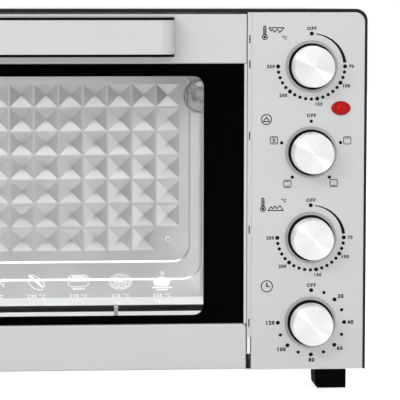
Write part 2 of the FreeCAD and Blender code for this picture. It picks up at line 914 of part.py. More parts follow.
def press_rails(body, inner, outward):
    """Three rounded ribs pressed into the oven as runners for a rack; outward is the sheet's far side."""
    low = rail_first
    rail_front = frame_back + s.rail_end_gap
    rail_back = cavity_back - s.rail_end_gap
    half = s.rail_height / 2
    skin = s.liner_sheet
    rib = rounded(rail_front, rail_back, low, low + s.rail_height, half - s.rail_flat)
    hollow = rounded(rail_front + skin, rail_back - skin, low + skin, low + s.rail_height - skin,
                     half - s.rail_flat - skin)
    far = inner - s.rail_reach * outward
    if outward > 0:
        ribs = add(body, "YZ", far, inner, rib)
        hollows = cut(body, "YZ", far + skin, inner + skin, hollow)
    else:
        ribs = add(body, "YZ", inner, far, rib)
        hollows = cut(body, "YZ", inner - skin, far - skin, hollow)
    repeat(body, [ribs, hollows], "V", rail_last - rail_first, s.rail_count)


def make_cavity_left_wall():
    """Left side of the liner, with its pressed runners."""
    body = new_body("cavity_left_wall")
    add(body, "YZ", liner_left, cavity_left, rectangle(frame_back, cavity_back, liner_floor, liner_top))
    press_rails(body, cavity_left, -1)


def make_cavity_right_wall():
    """Right side of the liner: runners, fan perforation, and holes for the rods, sensors and lamp."""
    body = new_body("cavity_right_wall")
    add(body, "YZ", cavity_right, liner_right, rectangle(frame_back, cavity_back, liner_floor, liner_top))
    press_rails(body, cavity_right, 1)
    rods = [(y, z, rod_hole) for z, *legs in HEATERS.values() for y in legs]
    sensors = [(front + s.sensor_depth, z, s.capillary_radius + s.screw_gap) for z in sensor_heights]
    lamp = (oven_lamp_y, oven_lamp_z, s.lamp_neck_radius + s.socket_gap)
    cut(body, "YZ", cavity_right, liner_right, lamp, *rods, *sensors)
    axis = place_sketch(body, "YZ", y=fan_y, z=fan_z, x=cavity_right)
    rings = ((s.perforation_pitch, s.perforation_inner_count),
             (s.perforation_pitch * 2, s.perforation_outer_count))
    for ring_radius, count in rings:
        hole = cut(body, "YZ", cavity_right, liner_right, (fan_y + ring_radius, fan_z, s.perforation_radius))
        pattern = repeat_round(body, [hole], axis, count)
        pattern.Axis = (axis, ["N_Axis"])


def make_cavity_back_wall():
    """Pressed back sheet: two stepped recesses, and rows of square pyramid dents in the inner one."""
    body = new_body("cavity_back_wall")
    skin = s.liner_sheet
    sheet_outline = rectangle(liner_left, liner_right, liner_floor, liner_top)
    add(body, "XZ", cavity_back, cavity_back + skin, sheet_outline)
    place = cavity_back
    outer_half_width = cavity_half_width - s.outer_step_side
    outer_half_height = cavity_half_height - s.outer_step_end
    steps = ((outer_half_width, outer_half_height, s.outer_step_corner),
             (inner_step_half_width, inner_step_half_height, s.inner_step_corner))
    for half_wide, half_high, corner in steps:
        field = rounded(door_middle - half_wide, door_middle + half_wide,
                        cavity_middle - half_high, cavity_middle + half_high, corner)
        behind = rounded(door_middle - half_wide - skin, door_middle + half_wide + skin,
                         cavity_middle - half_high - skin, cavity_middle + half_high + skin, corner + skin)
        following = place + s.step_depth
        add(body, "XZ", place + skin, following + skin, behind, taper=-s.step_slope_degrees)
        cut(body, "XZ", place, following, field, taper=-s.step_slope_degrees)
        place = following
    holes = [(x, pyramid_low, s.cavity_screw_radius) for x in (pyramid_left, pyramid_right)]
    cut(body, "XZ", place, place + skin, *holes)
    press_pyramids(body, place)


def press_pyramids(body, field):
    """Dent the sheet in rows and columns, leaving the two bottom corner cells flat for screws."""
    blocks = [
        (pyramid_left, pyramid_low + s.pyramid_pitch_high, pyramid_columns, pyramid_rows - 1),
        (pyramid_left + s.pyramid_pitch_wide, pyramid_low, pyramid_columns - 2, as_length(1)),
    ]
    for x, z, wide, high in blocks:
        outside = pyramid(body, "AdditiveWedge", x, z, field + s.liner_sheet)
        inside = pyramid(body, "SubtractiveWedge", x, z, field)
        axis = place_sketch(body, "XZ")
        pattern = body.newObject("PartDesign::LinearPattern", f"{body.Name}_pyramids")
        pattern.Originals = [outside, inside]
        pattern.Direction = (axis, ["H_Axis"])
        bind(pattern, "Length", s.pyramid_pitch_wide * (wide - 1))
        bind(pattern, "Occurrences", wide)
        if high.value > 1:
            pattern.Direction2 = (axis, ["V_Axis"])
            bind(pattern, "Length2", s.pyramid_pitch_high * (high - 1))
            bind(pattern, "Occurrences2", high)
        body.Tip = pattern


def pyramid(body, kind, x, z, base):
    """A square pyramid with its base on the sheet and its point towards the rear."""
    wedge = body.newObject(f"PartDesign::{kind}", f"{body.Name}_pyramid")
    half = s.pyramid_base / 2
    sizes = {"Xmin": x - half, "Xmax": x + half, "Zmin": z - half, "Zmax": z + half,
             "Ymin": base, "Ymax": base + s.pyramid_depth,
             "X2min": x - s.pyramid_point, "X2max": x + s.pyramid_point,
             "Z2min": z - s.pyramid_point, "Z2max": z + s.pyramid_point}
    for name, length in sizes.items():
        bind(wedge, name, length)
    return wedge


def make_cavity_screws():
    """Two small pan-head screws in the flat cells of the back sheet."""
    body = new_body("cavity_screws")
    field = cavity_back + s.step_depth * 2
    shank = s.cavity_screw_radius - s.screw_gap
    head = s.cavity_screw_radius + s.cavity_screw_rim
    profile = [(field - s.cavity_screw_head, 0), (field - s.cavity_screw_head, head - s.screw_crown),
               (field, head), (field, shank), (field + s.cavity_screw_length, shank),
               (field + s.cavity_screw_length, 0)]
    screw = turn(body, "YZ", (pyramid_left, 0, pyramid_low), profile)
    row = place_sketch(body, "XZ")
    pattern = body.newObject("PartDesign::LinearPattern", "cavity_screws_pair")
    pattern.Originals = [screw]
    pattern.Direction = (row, ["H_Axis"])
    bind(pattern, "Length", pyramid_right - pyramid_left)
    pattern.Occurrences = 2
    body.Tip = pattern


def make_heaters():
    """Sheathed heating rods bent to a U, with both terminal pins in the control compartment."""
    for label, (z, leg_front, leg_rear) in HEATERS.items():
        body = new_body(label)
        bend = s.rod_bend
        far = cavity_left + s.rod_end_gap
        sheath_end = liner_right + s.insulator_length + s.rod_sheath_reach
        path = place_sketch(body, "XY", z=z)
        route = Drawing(path)
        route.outline([(sheath_end, leg_rear), (far + bend, leg_rear, bend), (far, leg_rear - bend),
                       (far, leg_front + bend, bend), (far + bend, leg_front), (sheath_end, leg_front)],
                      closed=False)
        route.finish()
        section = draw(place_sketch(body, "YZ", x=sheath_end), [(leg_rear, z, s.rod_radius)])
        rod = body.newObject("PartDesign::AdditivePipe", f"{label}_rod")
        rod.Profile = section
        rod.Spine = path
        add(body, "YZ", sheath_end, sheath_end + s.terminal_pin_length,
            (leg_front, z, s.terminal_pin_radius), (leg_rear, z, s.terminal_pin_radius))


def make_heater_insulators():
    """Ceramic collars round the rods, against the outside of the liner."""
    body = new_body("heater_insulators")
    end = liner_right + s.insulator_length
    for z, *legs in HEATERS.values():
        for y in legs:
            collar = s.insulator_radius - s.insulator_step
            flange_end = liner_right + s.insulator_step
            profile = [(liner_right, rod_hole), (end, rod_hole), (end, collar), (flange_end, collar),
                       (flange_end, s.insulator_radius), (liner_right, s.insulator_radius)]
            turn(body, "XZ", (0, y, z), profile)


def make_heater_clips():
    """Sheet-metal hangers that hold the middle of each rod to the floor or the ceiling."""
    body = new_body("heater_clips")
    clip_left = door_middle + s.clip_offset
    clip_right = clip_left + s.clip_width
    eye = s.rod_radius + s.screw_gap
    for z, *legs in HEATERS.values():
        for y in legs:
            stem_low, stem_high = (cavity_floor, z) if z.value < cavity_middle.value else (z, cavity_top)
            stem = rectangle(y - s.clip_sheet, y + s.clip_sheet, stem_low, stem_high)
            add(body, "YZ", clip_left, clip_right, stem)
            add(body, "YZ", clip_left, clip_right, (y, z, eye + s.clip_sheet))
            cut(body, "YZ", clip_left, clip_right, (y, z, eye))


def facets(centre, radius):
    """Points along a quarter round, from side to tip, that give moulded glass its flat bands."""
    points = []
    for step in range(DOME_BANDS):
        angle = math.pi / 2 * step / DOME_BANDS
        points.append((centre - radius * math.sin(angle), radius * math.cos(angle)))
    return points


def make_oven_lamp():
    """Lamp at the top rear of the right wall: ceramic socket, bulb, and a screwed glass dome."""
    origin = (0, oven_lamp_y, oven_lamp_z)
    holder = new_body("lamp_holder")
    flange_left = cavity_right - s.lamp_flange
    socket_end = liner_right + s.socket_length
    bore = s.bulb_base_radius + s.screw_gap
    bore_end = socket_end - s.socket_floor
    turn(holder, "XZ", origin, [
        (flange_left, bore), (bore_end, bore), (bore_end, 0), (socket_end, 0), (socket_end, s.socket_radius),
        (liner_right, s.socket_radius), (liner_right, s.lamp_neck_radius), (cavity_right, s.lamp_neck_radius),
        (cavity_right, s.lamp_flange_radius), (flange_left, s.lamp_flange_radius)])
    bulb = new_body("lamp_bulb")
    base_radius = s.bulb_base_radius
    envelope = s.bulb_radius
    tip = flange_left - s.bulb_reach
    turn(bulb, "XZ", origin, [
        (tip, 0), (bore_end, 0), (bore_end, base_radius), (flange_left - s.bulb_neck, base_radius),
        *facets(tip + envelope, envelope)])
    glass = new_body("lamp_glass")
    dome = s.lamp_glass_radius
    apex = flange_left - s.lamp_glass_reach
    wall = s.lamp_glass_wall
    turn(glass, "XZ", origin, [
        (flange_left, dome - wall), (flange_left, dome), *facets(apex + dome, dome), (apex, 0),
        (apex + wall, 0), *facets(apex + dome, dome - wall)[::-1]])


def make_fan_housing():
    """Shallow round dish on the outside of the liner, in which the fan turns."""
    body = new_body("fan_housing")
    skin = s.liner_sheet
    depth = s.shield_gap
    radius = s.fan_housing_radius
    end = liner_right + depth
    turn(body, "XZ", (0, fan_y, fan_z), [
        (liner_right, radius), (end - skin, radius), (end - skin, s.fan_shaft_hole), (end, s.fan_shaft_hole),
        (end, radius + skin), (liner_right + skin, radius + skin),
        (liner_right + skin, radius + s.fan_housing_rim), (liner_right, radius + s.fan_housing_rim)])


def make_fan_motor():
    """Shaded-pole motor on the heat shield: square iron core, coil, and a bearing hump."""
    body = new_body("fan_motor")
    bore = s.fan_shaft_radius + s.running_gap
    start = shield_right
    core_end = start + s.motor_core
    end = core_end + s.motor_hump
    half = s.motor_half_width
    core = rounded(fan_y - half, fan_y + half, fan_z - half, fan_z + half, s.motor_corner)
    add(body, "YZ", start, core_end, core)
    coil_low = fan_z - half - s.motor_coil_drop
    add(body, "YZ", start + s.motor_coil_inset, core_end - s.motor_coil_inset,
        rounded(fan_y - s.motor_coil_half, fan_y + s.motor_coil_half, coil_low, fan_z - half + s.motor_corner,
                s.motor_corner))
    turn(body, "XZ", (0, fan_y, fan_z), [
        (core_end, 0), (end, 0), (end, s.motor_hump_radius - s.motor_corner),
        (end - s.motor_corner, s.motor_hump_radius), (core_end, s.motor_hump_radius)])
    cut(body, "YZ", start, end - s.motor_end_wall, (fan_y, fan_z, bore))


def make_fan_wheel():
    """Fan disc with bent blades, on the motor's shaft."""
    body = new_body("fan_wheel")
    disc_right = liner_right + s.shield_gap - s.liner_sheet - s.fan_gap
    disc_left = disc_right - s.fan_sheet
    shaft_end = shield_right + s.motor_core + s.motor_hump - s.motor_end_wall - s.shaft_end_gap
    hub_left = disc_left - s.fan_hub_length
    turn(body, "XZ", (0, fan_y, fan_z), [
        (hub_left, 0), (shaft_end, 0), (shaft_end, s.fan_shaft_radius), (disc_right, s.fan_shaft_radius),
        (disc_right, s.fan_radius), (disc_left, s.fan_radius), (disc_left, s.fan_hub_radius),
        (hub_left, s.fan_hub_radius)])
    tilt = s.fan_blade_lean
    blade = add(body, "YZ", disc_left - s.fan_blade_height, disc_left, [
        (fan_y - tilt, fan_z + s.fan_blade_inner), (fan_y - tilt + s.fan_sheet, fan_z + s.fan_blade_inner),
        (fan_y + tilt + s.fan_sheet, fan_z + s.fan_blade_outer), (fan_y + tilt, fan_z + s.fan_blade_outer)])
    axis = place_sketch(body, "YZ", x=disc_left, y=fan_y, z=fan_z)
    pattern = repeat_round(body, [blade], axis, s.fan_blade_count)
    pattern.Axis = (axis, ["N_Axis"])


def make_thermostat_sensors():
    """Sensor bulbs of the two thermostats, on their capillaries through the right wall."""
    body = new_body("thermostat_sensors")
    y = front + s.sensor_depth
    x = cavity_right - s.sensor_gap
    for z in sensor_heights:
        add(body, "XZ", y - s.capillary_radius, y + s.sensor_length, (x, z, s.sensor_radius))
        add(body, "YZ", x, liner_right + s.capillary_reach, (y, z, s.capillary_radius))


def knob_z(index):
    """Height of a knob's axis, counted from the lowest knob."""
    return knob_first + knob_span * index / (len(KNOBS) - 1)


def control_bush(body, z):
    """Threaded bush in front of a control, bored for the knob's shaft."""
    start = control_back - s.plate_sheet - s.control_bush_length
    add(body, "XZ", start, control_back, (knob_x, z, s.control_bush_radius))
    shaft_end = control_back + s.shaft_depth
    cut(body, "XZ", start, shaft_end + s.shaft_end_gap, (knob_x, z, s.shaft_radius + s.running_gap))


def make_thermostats():
    """Round capillary thermostats behind the two temperature knobs, each with two blade terminals."""
    for label, index in (("lower_thermostat", 1), ("upper_thermostat", 3)):
        body = new_body(label)
        z = knob_z(index)
        end = control_back + s.thermostat_depth
        half = s.control_plate_half
        ear = s.plate_sheet
        add(body, "XZ", control_back, control_back + ear, rounded(
            knob_x - half, knob_x + half, z - half, z + half, s.control_plate_corner))
        turn(body, "YZ", (knob_x, 0, z), [
            (control_back, 0), (end, 0), (end, s.thermostat_radius - s.thermostat_step),
            (end - s.thermostat_step, s.thermostat_radius - s.thermostat_step),
            (end - s.thermostat_step, s.thermostat_radius), (control_back, s.thermostat_radius)])
        blade_terminals(body, z, end)
        control_bush(body, z)


def blade_terminals(body, z, start):
    """Two flat blades that the wires push onto."""
    for side in (-1, 1):
        x = knob_x + s.blade_spread * side
        add(body, "XZ", start, start + s.blade_length, rectangle(
            x - s.blade_sheet, x + s.blade_sheet, z - s.blade_width / 2, z + s.blade_width / 2))


def make_function_switch():
    """Square rotary switch that picks the heaters and the fan."""
    body = new_body("function_switch")
    z = knob_z(2)
    end = control_back + s.switch_depth
    half = s.control_plate_half
    block = rounded(knob_x - half, knob_x + half, z - half, z + half, s.control_plate_corner)
    add(body, "XZ", control_back, end, block)
    cover_half = half - s.thermostat_step
    cover = rectangle(knob_x - cover_half, knob_x + cover_half, z - cover_half, z + cover_half)
    add(body, "XZ", end, end + s.thermostat_step, cover)
    blade_terminals(body, z, end + s.thermostat_step)
    control_bush(body, z)


def make_timer_unit():
    """Clockwork timer in a drum, with its bell behind it."""
    body = new_body("timer_unit")
    z = knob_z(0)
    drum = control_back + s.timer_depth
    neck = drum + s.bell_gap
    end = neck + s.bell_depth
    turn(body, "YZ", (knob_x, 0, z), [
        (control_back, 0), (end, 0), (end, s.bell_radius - s.bell_crown),
        (end - s.bell_crown, s.bell_radius), (neck, s.bell_radius), (neck, s.bell_neck_radius),
        (drum, s.bell_neck_radius),
        (drum, s.timer_radius), (control_back, s.timer_radius)])
    control_bush(body, z)


def make_power_lamp():
    """Red neon indicator: oval lens with a raised round dome, and the lamp body behind the fascia."""
    origin = (lamp_x, 0, lamp_z)
    lens = new_body("power_lamp_lens")
    outline = oval(lamp_x, lamp_z, s.lens_half_width, s.lens_half_height, s.lens_end_radius)
    add(lens, "XZ", front - s.lens_rise, front, outline)
    lens_front = front.value - s.lens_rise.value / 2
    soften(lens, "Fillet", s.lens_round,
           lambda edge: all(point.Point.y < lens_front for point in edge.Vertexes))
    stem_end = front + s.lamp_stem_length
    nose = front - s.lens_dome_rise
    dome = s.lens_dome_radius
    rise = s.lens_dome_rise
    curve = (dome * dome + rise * rise) / (rise * 2)
    turn(lens, "YZ", origin, [(nose, 0), (stem_end, 0), (stem_end, s.lamp_stem_radius),
                              (front, s.lamp_stem_radius), (front, dome, curve)])
    holder = new_body("power_lamp_body")
    end = stem_end + s.lamp_body_length
    turn(holder, "YZ", origin, [
        (stem_end, 0), (end, 0), (end, s.lamp_body_radius - s.screw_head),
        (end - s.screw_head, s.lamp_body_radius), (stem_end, s.lamp_body_radius)])


def make_terminal_block():
    """Porcelain block at the rear, where the supply wires are screwed down."""
    body = new_body("terminal_block")
    low = under + s.plate_sheet
    back = rear - s.plate_sheet - s.flange_depth - s.block_gap
    start = back - s.block_depth
    left = cord_x - s.block_width / 2
    add(body, "XZ", start, back, rectangle(left, left + s.block_width, low, low + s.block_height))
    post = s.block_width / s.block_well_count
    first = left + post / 2
    well = cut(body, "XY", low + s.block_height - s.block_well, low + s.block_height,
               (first, (start + back) / 2, s.block_well_radius))
    repeat(body, [well], "H", post * (s.block_well_count - 1), s.block_well_count)


def make_cord_bushing():
    """Moulded bushing that snaps into the rear sheet, open for a cord."""
    body = new_body("cord_bushing")
    sheet_front = rear - s.plate_sheet
    flange = s.bushing_radius + s.bushing_rim
    inner = sheet_front - s.bushing_inside
    turn(body, "YZ", (cord_x, 0, cord_z), [
        (inner, s.cord_hole_radius), (rear + s.bushing_reach, s.cord_hole_radius),
        (rear + s.bushing_reach, flange - s.bushing_rim / 2), (rear, flange), (rear, s.bushing_radius),
        (inner, s.bushing_radius)])


def make_feet():
    """Moulded feet with a sloping inner side, a pale sole pad, and the screw that holds each."""
    feet = new_body("feet")
    low = s.pad_height - s.pad_recess
    side = foot_x + s.foot_width / 2
    inner_top_x = foot_x - s.foot_width / 2
    inner_low_x = inner_top_x + s.foot_slope
    corner = s.foot_chamfer
    half = s.foot_length / 2
    outline = [(inner_low_x + corner, low), (side, low), (side, under), (inner_top_x, under),
               (inner_low_x, low + corner)]
    sole = foot_screw_x[1]
    gap = s.screw_gap
    block = add(feet, "XZ", foot_y[0] - half, foot_y[0] + half, outline)
    recess = cut(feet, "XY", low, s.pad_height + s.foot_screw_head, (sole, foot_y[0], s.pad_radius + gap))
    bore = cut(feet, "XY", low, under, (sole, foot_y[0], s.foot_screw_radius + gap))
    spread(feet, [block, recess, bore])
    pads = new_body("foot_pads")
    spread(pads, [turn_upright(pads, sole, foot_y[0], [
        (0, 0), (s.pad_radius - s.pad_edge, 0), (s.pad_radius, s.pad_edge), (s.pad_radius, s.pad_height),
        (0, s.pad_height)])])
    screws = new_body("foot_screws")
    head_top = s.pad_height + s.foot_screw_head
    end = under + s.plate_sheet + s.foot_screw_end
    spread(screws, [turn_upright(screws, sole, foot_y[0], [
        (0, s.pad_height), (s.foot_screw_head_radius, s.pad_height), (s.foot_screw_head_radius, head_top),
        (s.foot_screw_radius, head_top), (s.foot_screw_radius, end), (0, end)])])


def turn_upright(body, x, y, corners):
    """Spin a half profile, given as (radius, height), about an upright axis at x, y."""
    sketch = draw(place_sketch(body, "XZ", x=x, y=y), [corners])
    feature = body.newObject("PartDesign::Revolution", f"{body.Name}_revolution")
    feature.Profile = sketch
    feature.ReferenceAxis = (sketch, ["V_Axis"])
    feature.Angle = 360
    return feature


def spread(body, features):
    """Copy the right front foot's features to the rear, and mirror both to the left."""
    grid = place_sketch(body, "XY")
    row = body.newObject("PartDesign::LinearPattern", f"{body.Name}_row")
    row.Direction = (grid, ["V_Axis"])
    bind(row, "Length", foot_y[1] - foot_y[0])
    row.Occurrences = 2
    sides = body.newObject("PartDesign::Mirrored", f"{body.Name}_sides")
    sides.MirrorPlane = (grid, ["V_Axis"])
    both = body.newObject("PartDesign::MultiTransform", f"{body.Name}_four")
    both.Originals = features
    both.Transformations = [row, sides]
    body.Tip = both


def make_hinges():
    """Black knuckles beside the door's bottom corners, their pins, and the steel ears above them."""
    knuckles = new_body("hinge_knuckles")
    pins = new_body("hinge_pins")
    ears = new_body("hinge_brackets")
    knuckle_front = hinge_y - s.knuckle_length / 2 + s.knuckle_shift
    knuckle_back = knuckle_front + s.knuckle_length
    low = under + s.plate_sheet
    high = low + s.knuckle_height
    for side, edge in ((1, door_right), (-1, door_left)):
        near = edge + s.knuckle_gap * side
        far = near + s.knuckle_width * side
        left, right = (near, far) if side > 0 else (far, near)
        nose = s.knuckle_round
        add(knuckles, "YZ", left, right, [
            (knuckle_front, low), (knuckle_back, low), (knuckle_back, high),
            (knuckle_front + nose, high, nose), (knuckle_front, high - nose)])
        cut(knuckles, "YZ", left, right, (hinge_y, hinge_z, s.hinge_pin_radius))
        inside = edge - s.hinge_pin_reach * side
        start, end = (inside, far) if side > 0 else (far, inside)
        add(pins, "YZ", start, end, (hinge_y, hinge_z, s.hinge_pin_radius))
        ear_far = near + s.hinge_ear_sheet * side
        ear_left, ear_right = (near, ear_far) if side > 0 else (ear_far, near)
        ear_front = knuckle_front + s.hinge_ear_step
        add(ears, "YZ", ear_left, ear_right, [
            (ear_front, high), (knuckle_back, high), (knuckle_back, low), (frame_front, low),
            (frame_front, under + s.hinge_ear_lift), (ear_front, under + s.hinge_ear_lift)])


def make_housing_screws():
    """Six pan-head screws round the rear sheet."""
    body = new_body("housing_screws")
    end = rear - s.plate_sheet - s.screw_length
    head = s.screw_radius + s.screw_rim
    for x in back_screw_x:
        for z in back_screw_z:
            turn(body, "YZ", (x, 0, z), [
                (end, 0), (rear + s.screw_head, 0), (rear + s.screw_head, head - s.screw_crown), (rear, head),
                (rear, s.screw_radius), (end, s.screw_radius)])


def make_pan(body, place, corners, depth):
    """A folded tray, open to the rear, with softly rounded front edges."""
    back = front + depth
    add(body, "XZ", front, back, shoulders(*place, *corners))
    soften(body, "Fillet", s.door_pan_round, in_front_plane)
    wall = s.door_pan_wall
    left, right, low, high = place
    inside = [corner - wall if corner else None for corner in corners]
    hollow = shoulders(left + wall, right - wall, low + wall, high - wall, *inside)
    cut(body, "XZ", front + wall, back, hollow)


def make_door_top_panel():
    """Brushed steel pan across the top of the door, which carries the handle."""
    body = new_body("door_top_panel")
    make_pan(body, (door_left, door_right, glass_top, door_top), (s.door_corner, None), s.door_back_setback)
    holes = [(x, handle_z, s.handle_screw_radius + s.screw_gap) for x in handle_screw_x]
    cut(body, "XZ", front, front + s.door_pan_wall, *holes)


def make_door_bottom_panel():
    """Brushed steel pan across the bottom of the door, with rounded top corners."""
    body = new_body("door_bottom_panel")
    corner = s.bottom_panel_corner
    make_pan(body, (door_left, door_right, door_bottom, glass_bottom), (corner, corner), s.door_pan_depth)
    hole = s.hinge_pin_radius + s.running_gap
    cut(body, "YZ", door_left, door_right, (hinge_y, hinge_z, hole))


def make_door_frame():
    """Pressed steel frame that holds the glass: side trims, a ledge, a deep web and the rear flange."""
    body = new_body("door_frame")
    sheet_size = s.door_sheet
    back_front = front + s.door_back_setback
    back = back_front + sheet_size
    ledge_front = front + s.glass_setback + s.glass_thickness + s.glass_print
    margin = s.ledge_window_margin
    window = rounded(window_left - margin, window_right + margin, window_bottom - margin,
                     window_top + margin, s.window_corner)
    reach = margin + s.ledge_width
    well = [window_left - reach, window_right + reach, window_bottom - reach, window_top + reach]
    outer = rounded(*well, s.window_corner + s.ledge_width)
    inner = rounded(well[0] + sheet_size, well[1] - sheet_size, well[2] + sheet_size, well[3] - sheet_size,
                    s.window_corner + s.ledge_width - sheet_size)
    add(body, "XZ", ledge_front, ledge_front + sheet_size, outer, window)
    add(body, "XZ", ledge_front + sheet_size, back_front, outer, inner)
    low = door_bottom + s.door_back_lift
    flange = shoulders(door_left, door_right, low, door_top, s.door_corner, None)
    add(body, "XZ", back_front, back, flange, inner)
    for left, right in ((door_left, door_left + s.side_trim_width),
                        (door_right - s.side_trim_width, door_right)):
        add(body, "XZ", front + s.trim_setback, back_front, rectangle(left, right, glass_bottom, glass_top))
    make_hinge_lugs(body, back_front)


def make_hinge_lugs(body, back_front):
    """Bearing blocks inside the door's bottom corners, bored for the hinge pins."""
    wall = s.door_pan_wall
    low = door_bottom + wall
    hole = s.hinge_pin_radius + s.running_gap
    for side, edge in ((1, door_right), (-1, door_left)):
        outer = edge - wall * side
        inner = outer - s.hinge_pin_reach * side
        left, right = (inner, outer) if side > 0 else (outer, inner)
        add(body, "YZ", left, right, [
            (front + s.lug_front, low), (front + s.door_pan_depth, low),
            (front + s.door_pan_depth, door_bottom + s.door_back_lift),
            (back_front, door_bottom + s.door_back_lift), (back_front, low + s.lug_height),
            (front + s.lug_front, low + s.lug_height)])
        cut(body, "YZ", left, right, (hinge_y, hinge_z, hole))


def make_door_glass():
    """Clear pane of the door, and the black print on its rear face that leaves the window clear."""
    left = door_left + s.side_trim_width
    right = door_right - s.side_trim_width
    glass_front = front + s.glass_setback
    glass_back = glass_front + s.glass_thickness
    glass = new_body("door_glass")
    add(glass, "XZ", glass_front, glass_back, rectangle(left, right, glass_bottom, glass_top))
    print_layer = new_body("glass_print")
    window = rounded(window_left, window_right, window_bottom, window_top, s.window_corner)
    add(print_layer, "XZ", glass_back, glass_back + s.glass_print,
        rectangle(left, right, glass_bottom, glass_top), window)


def handle_bow(half_length, reach, radius):
    """Front outline of the handle seen from above: out from the door, round, along, and back."""
    left = door_middle - half_length
    right = door_middle + half_length
    nose = front - reach
    return [(left, front), (left, nose + radius, radius), (left + radius, nose),
            (right - radius, nose, radius), (right, nose + radius), (right, front)]


def make_handle():
    """Wide bow handle: black moulded core, brushed strip on its front, silver ends, screws from inside."""
    half = handle_half
    sheet_size = s.handle_strip_sheet
    radius = s.handle_end_round
    middle = handle_z
    core_half = s.handle_core_height / 2
    strip_half = s.handle_strip_height / 2
    core = new_body("handle_core")
    inner_radius = s.handle_inner_round
    inner = half - s.handle_leg
    inner_nose = front - s.handle_reach + s.handle_bar
    left = door_middle - inner
    right = door_middle + inner
    inside = [(right, front), (right, inner_nose + inner_radius, -inner_radius),
              (right - inner_radius, inner_nose), (left + inner_radius, inner_nose, -inner_radius),
              (left, inner_nose + inner_radius), (left, front)]
    add(core, "XY", middle - core_half, middle + core_half,
        handle_bow(half - sheet_size, s.handle_reach - sheet_size, radius - sheet_size) + inside)
    screw_hole = s.handle_screw_radius + s.screw_gap
    cut(core, "XZ", front - s.handle_screw_reach - s.shaft_end_gap, front,
        *[(x, middle, screw_hole) for x in handle_screw_x])
    strip = new_body("handle_strip")
    nose = front - s.handle_reach
    straight = half - radius
    add(strip, "XY", middle - strip_half, middle + strip_half,
        rectangle(door_middle - straight, door_middle + straight, nose, nose + sheet_size))
    ends = new_body("handle_end_caps")
    for side in (-1, 1):
        outer_x = door_middle + half * side
        inner_x_cap = outer_x - sheet_size * side
        start_x = door_middle + straight * side
        turn_sign = radius * side
        small = (radius - sheet_size) * side
        add(ends, "XY", middle - strip_half, middle + strip_half, [
            (start_x, nose, turn_sign), (outer_x, nose + radius), (outer_x, front), (inner_x_cap, front),
            (inner_x_cap, nose + radius, -small), (start_x, nose + sheet_size)])
    screws = new_body("handle_screws")
    wall_back = front + s.door_pan_wall
    tip = front - s.handle_screw_reach
    head = s.handle_screw_radius + s.screw_rim
    for x in handle_screw_x:
        turn(screws, "YZ", (x, 0, middle), [
            (tip, 0), (wall_back + s.screw_head, 0), (wall_back + s.screw_head, head - s.screw_crown),
            (wall_back, head), (wall_back, s.handle_screw_radius), (tip, s.handle_screw_radius)])


def make_knobs():
    """Each knob: black skirt, spun metal cap, and the control's flatted shaft that turns with it."""
    for label, index in KNOBS.items():
        origin = (knob_x, 0, knob_z(index))
        skirt_back = front + s.dish_depth - s.knob_gap
        skirt_front = skirt_back - s.skirt_depth
        skirt = new_body(f"{label}_skirt")
        turn(skirt, "YZ", origin, [
            (skirt_front, s.shaft_radius), (skirt_back, s.shaft_radius), (skirt_back, s.skirt_radius),
            (skirt_front + s.skirt_edge, s.skirt_radius), (skirt_front, s.skirt_radius - s.skirt_edge)])
        cap = new_body(f"{label}_cap")
        face = front - s.knob_reach
        well = skirt_front - s.shaft_grip
        turn(cap, "YZ", origin, [
            (face, 0), (well, 0), (well, s.shaft_radius), (skirt_front, s.shaft_radius),
            (skirt_front, s.cap_radius), (face + s.cap_bevel, s.cap_face_radius + s.cap_bevel),
            (face, s.cap_face_radius)][::-1])
        shaft = new_body(f"{label}_shaft")
        end = control_back + s.shaft_depth
        turn(shaft, "YZ", origin, [(well, 0), (end, 0), (end, s.shaft_radius), (well, s.shaft_radius)])


def check_all():
    """Stop if any object failed or any sub-part's solid is missing or invalid."""
    failed = [f"{item.Label} {item.getStatusString()}" for item in doc.Objects
              if "Invalid" in item.State or "Error" in item.State]
    for body in doc.findObjects("PartDesign::Body"):
        if body.Shape.isNull() or not body.Shape.isValid() or not body.Shape.Solids:
            failed.append(f"{body.Label} is not a valid solid")
    if failed:
        raise RuntimeError(f"failed: {', '.join(failed)}")


def write_files():
    """Write each sub-part to its own file and print what it holds."""
    for body in doc.findObjects("PartDesign::Body"):
        body.Shape.exportStep(f"parts/{body.Label}.step")
        print(f"{body.Label}: {len(body.Shape.Solids)} solid(s), {body.Shape.Volume:.0f} mm3")


PIECES = [
    make_housing_cover, make_base_plate, make_back_cover, make_front_frame, make_control_panel,
    make_control_bracket, make_heat_shield, make_cavity_floor, make_cavity_ceiling, make_cavity_left_wall,
    make_cavity_right_wall, make_cavity_back_wall, make_cavity_screws, make_heaters, make_heater_insulators,
    make_heater_clips, make_oven_lamp, make_fan_housing, make_fan_motor, make_fan_wheel,
    make_thermostat_sensors, make_thermostats, make_function_switch, make_timer_unit, make_power_lamp,
    make_terminal_block, make_cord_bushing, make_feet, make_hinges, make_housing_screws,
    make_door_top_panel, make_door_bottom_panel, make_door_frame, make_door_glass, make_handle, make_knobs,
]
for make in PIECES:
    make()
doc.recompute()
check_all()
write_files()
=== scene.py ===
# %% [markdown]
# A countertop oven is mostly sheet steel: a painted housing, a brushed door and fascia, and a bright
# liner behind a pane of glass. Every rigid piece arrives finished in shape, as the fixed frame. What is
# left to make here is the light it stands in, the finish of each piece, the printing, and two small
# pieces of trim.

# %% Load the frame
import json
import math

import bmesh
import bpy
from mathutils import Matrix, Vector


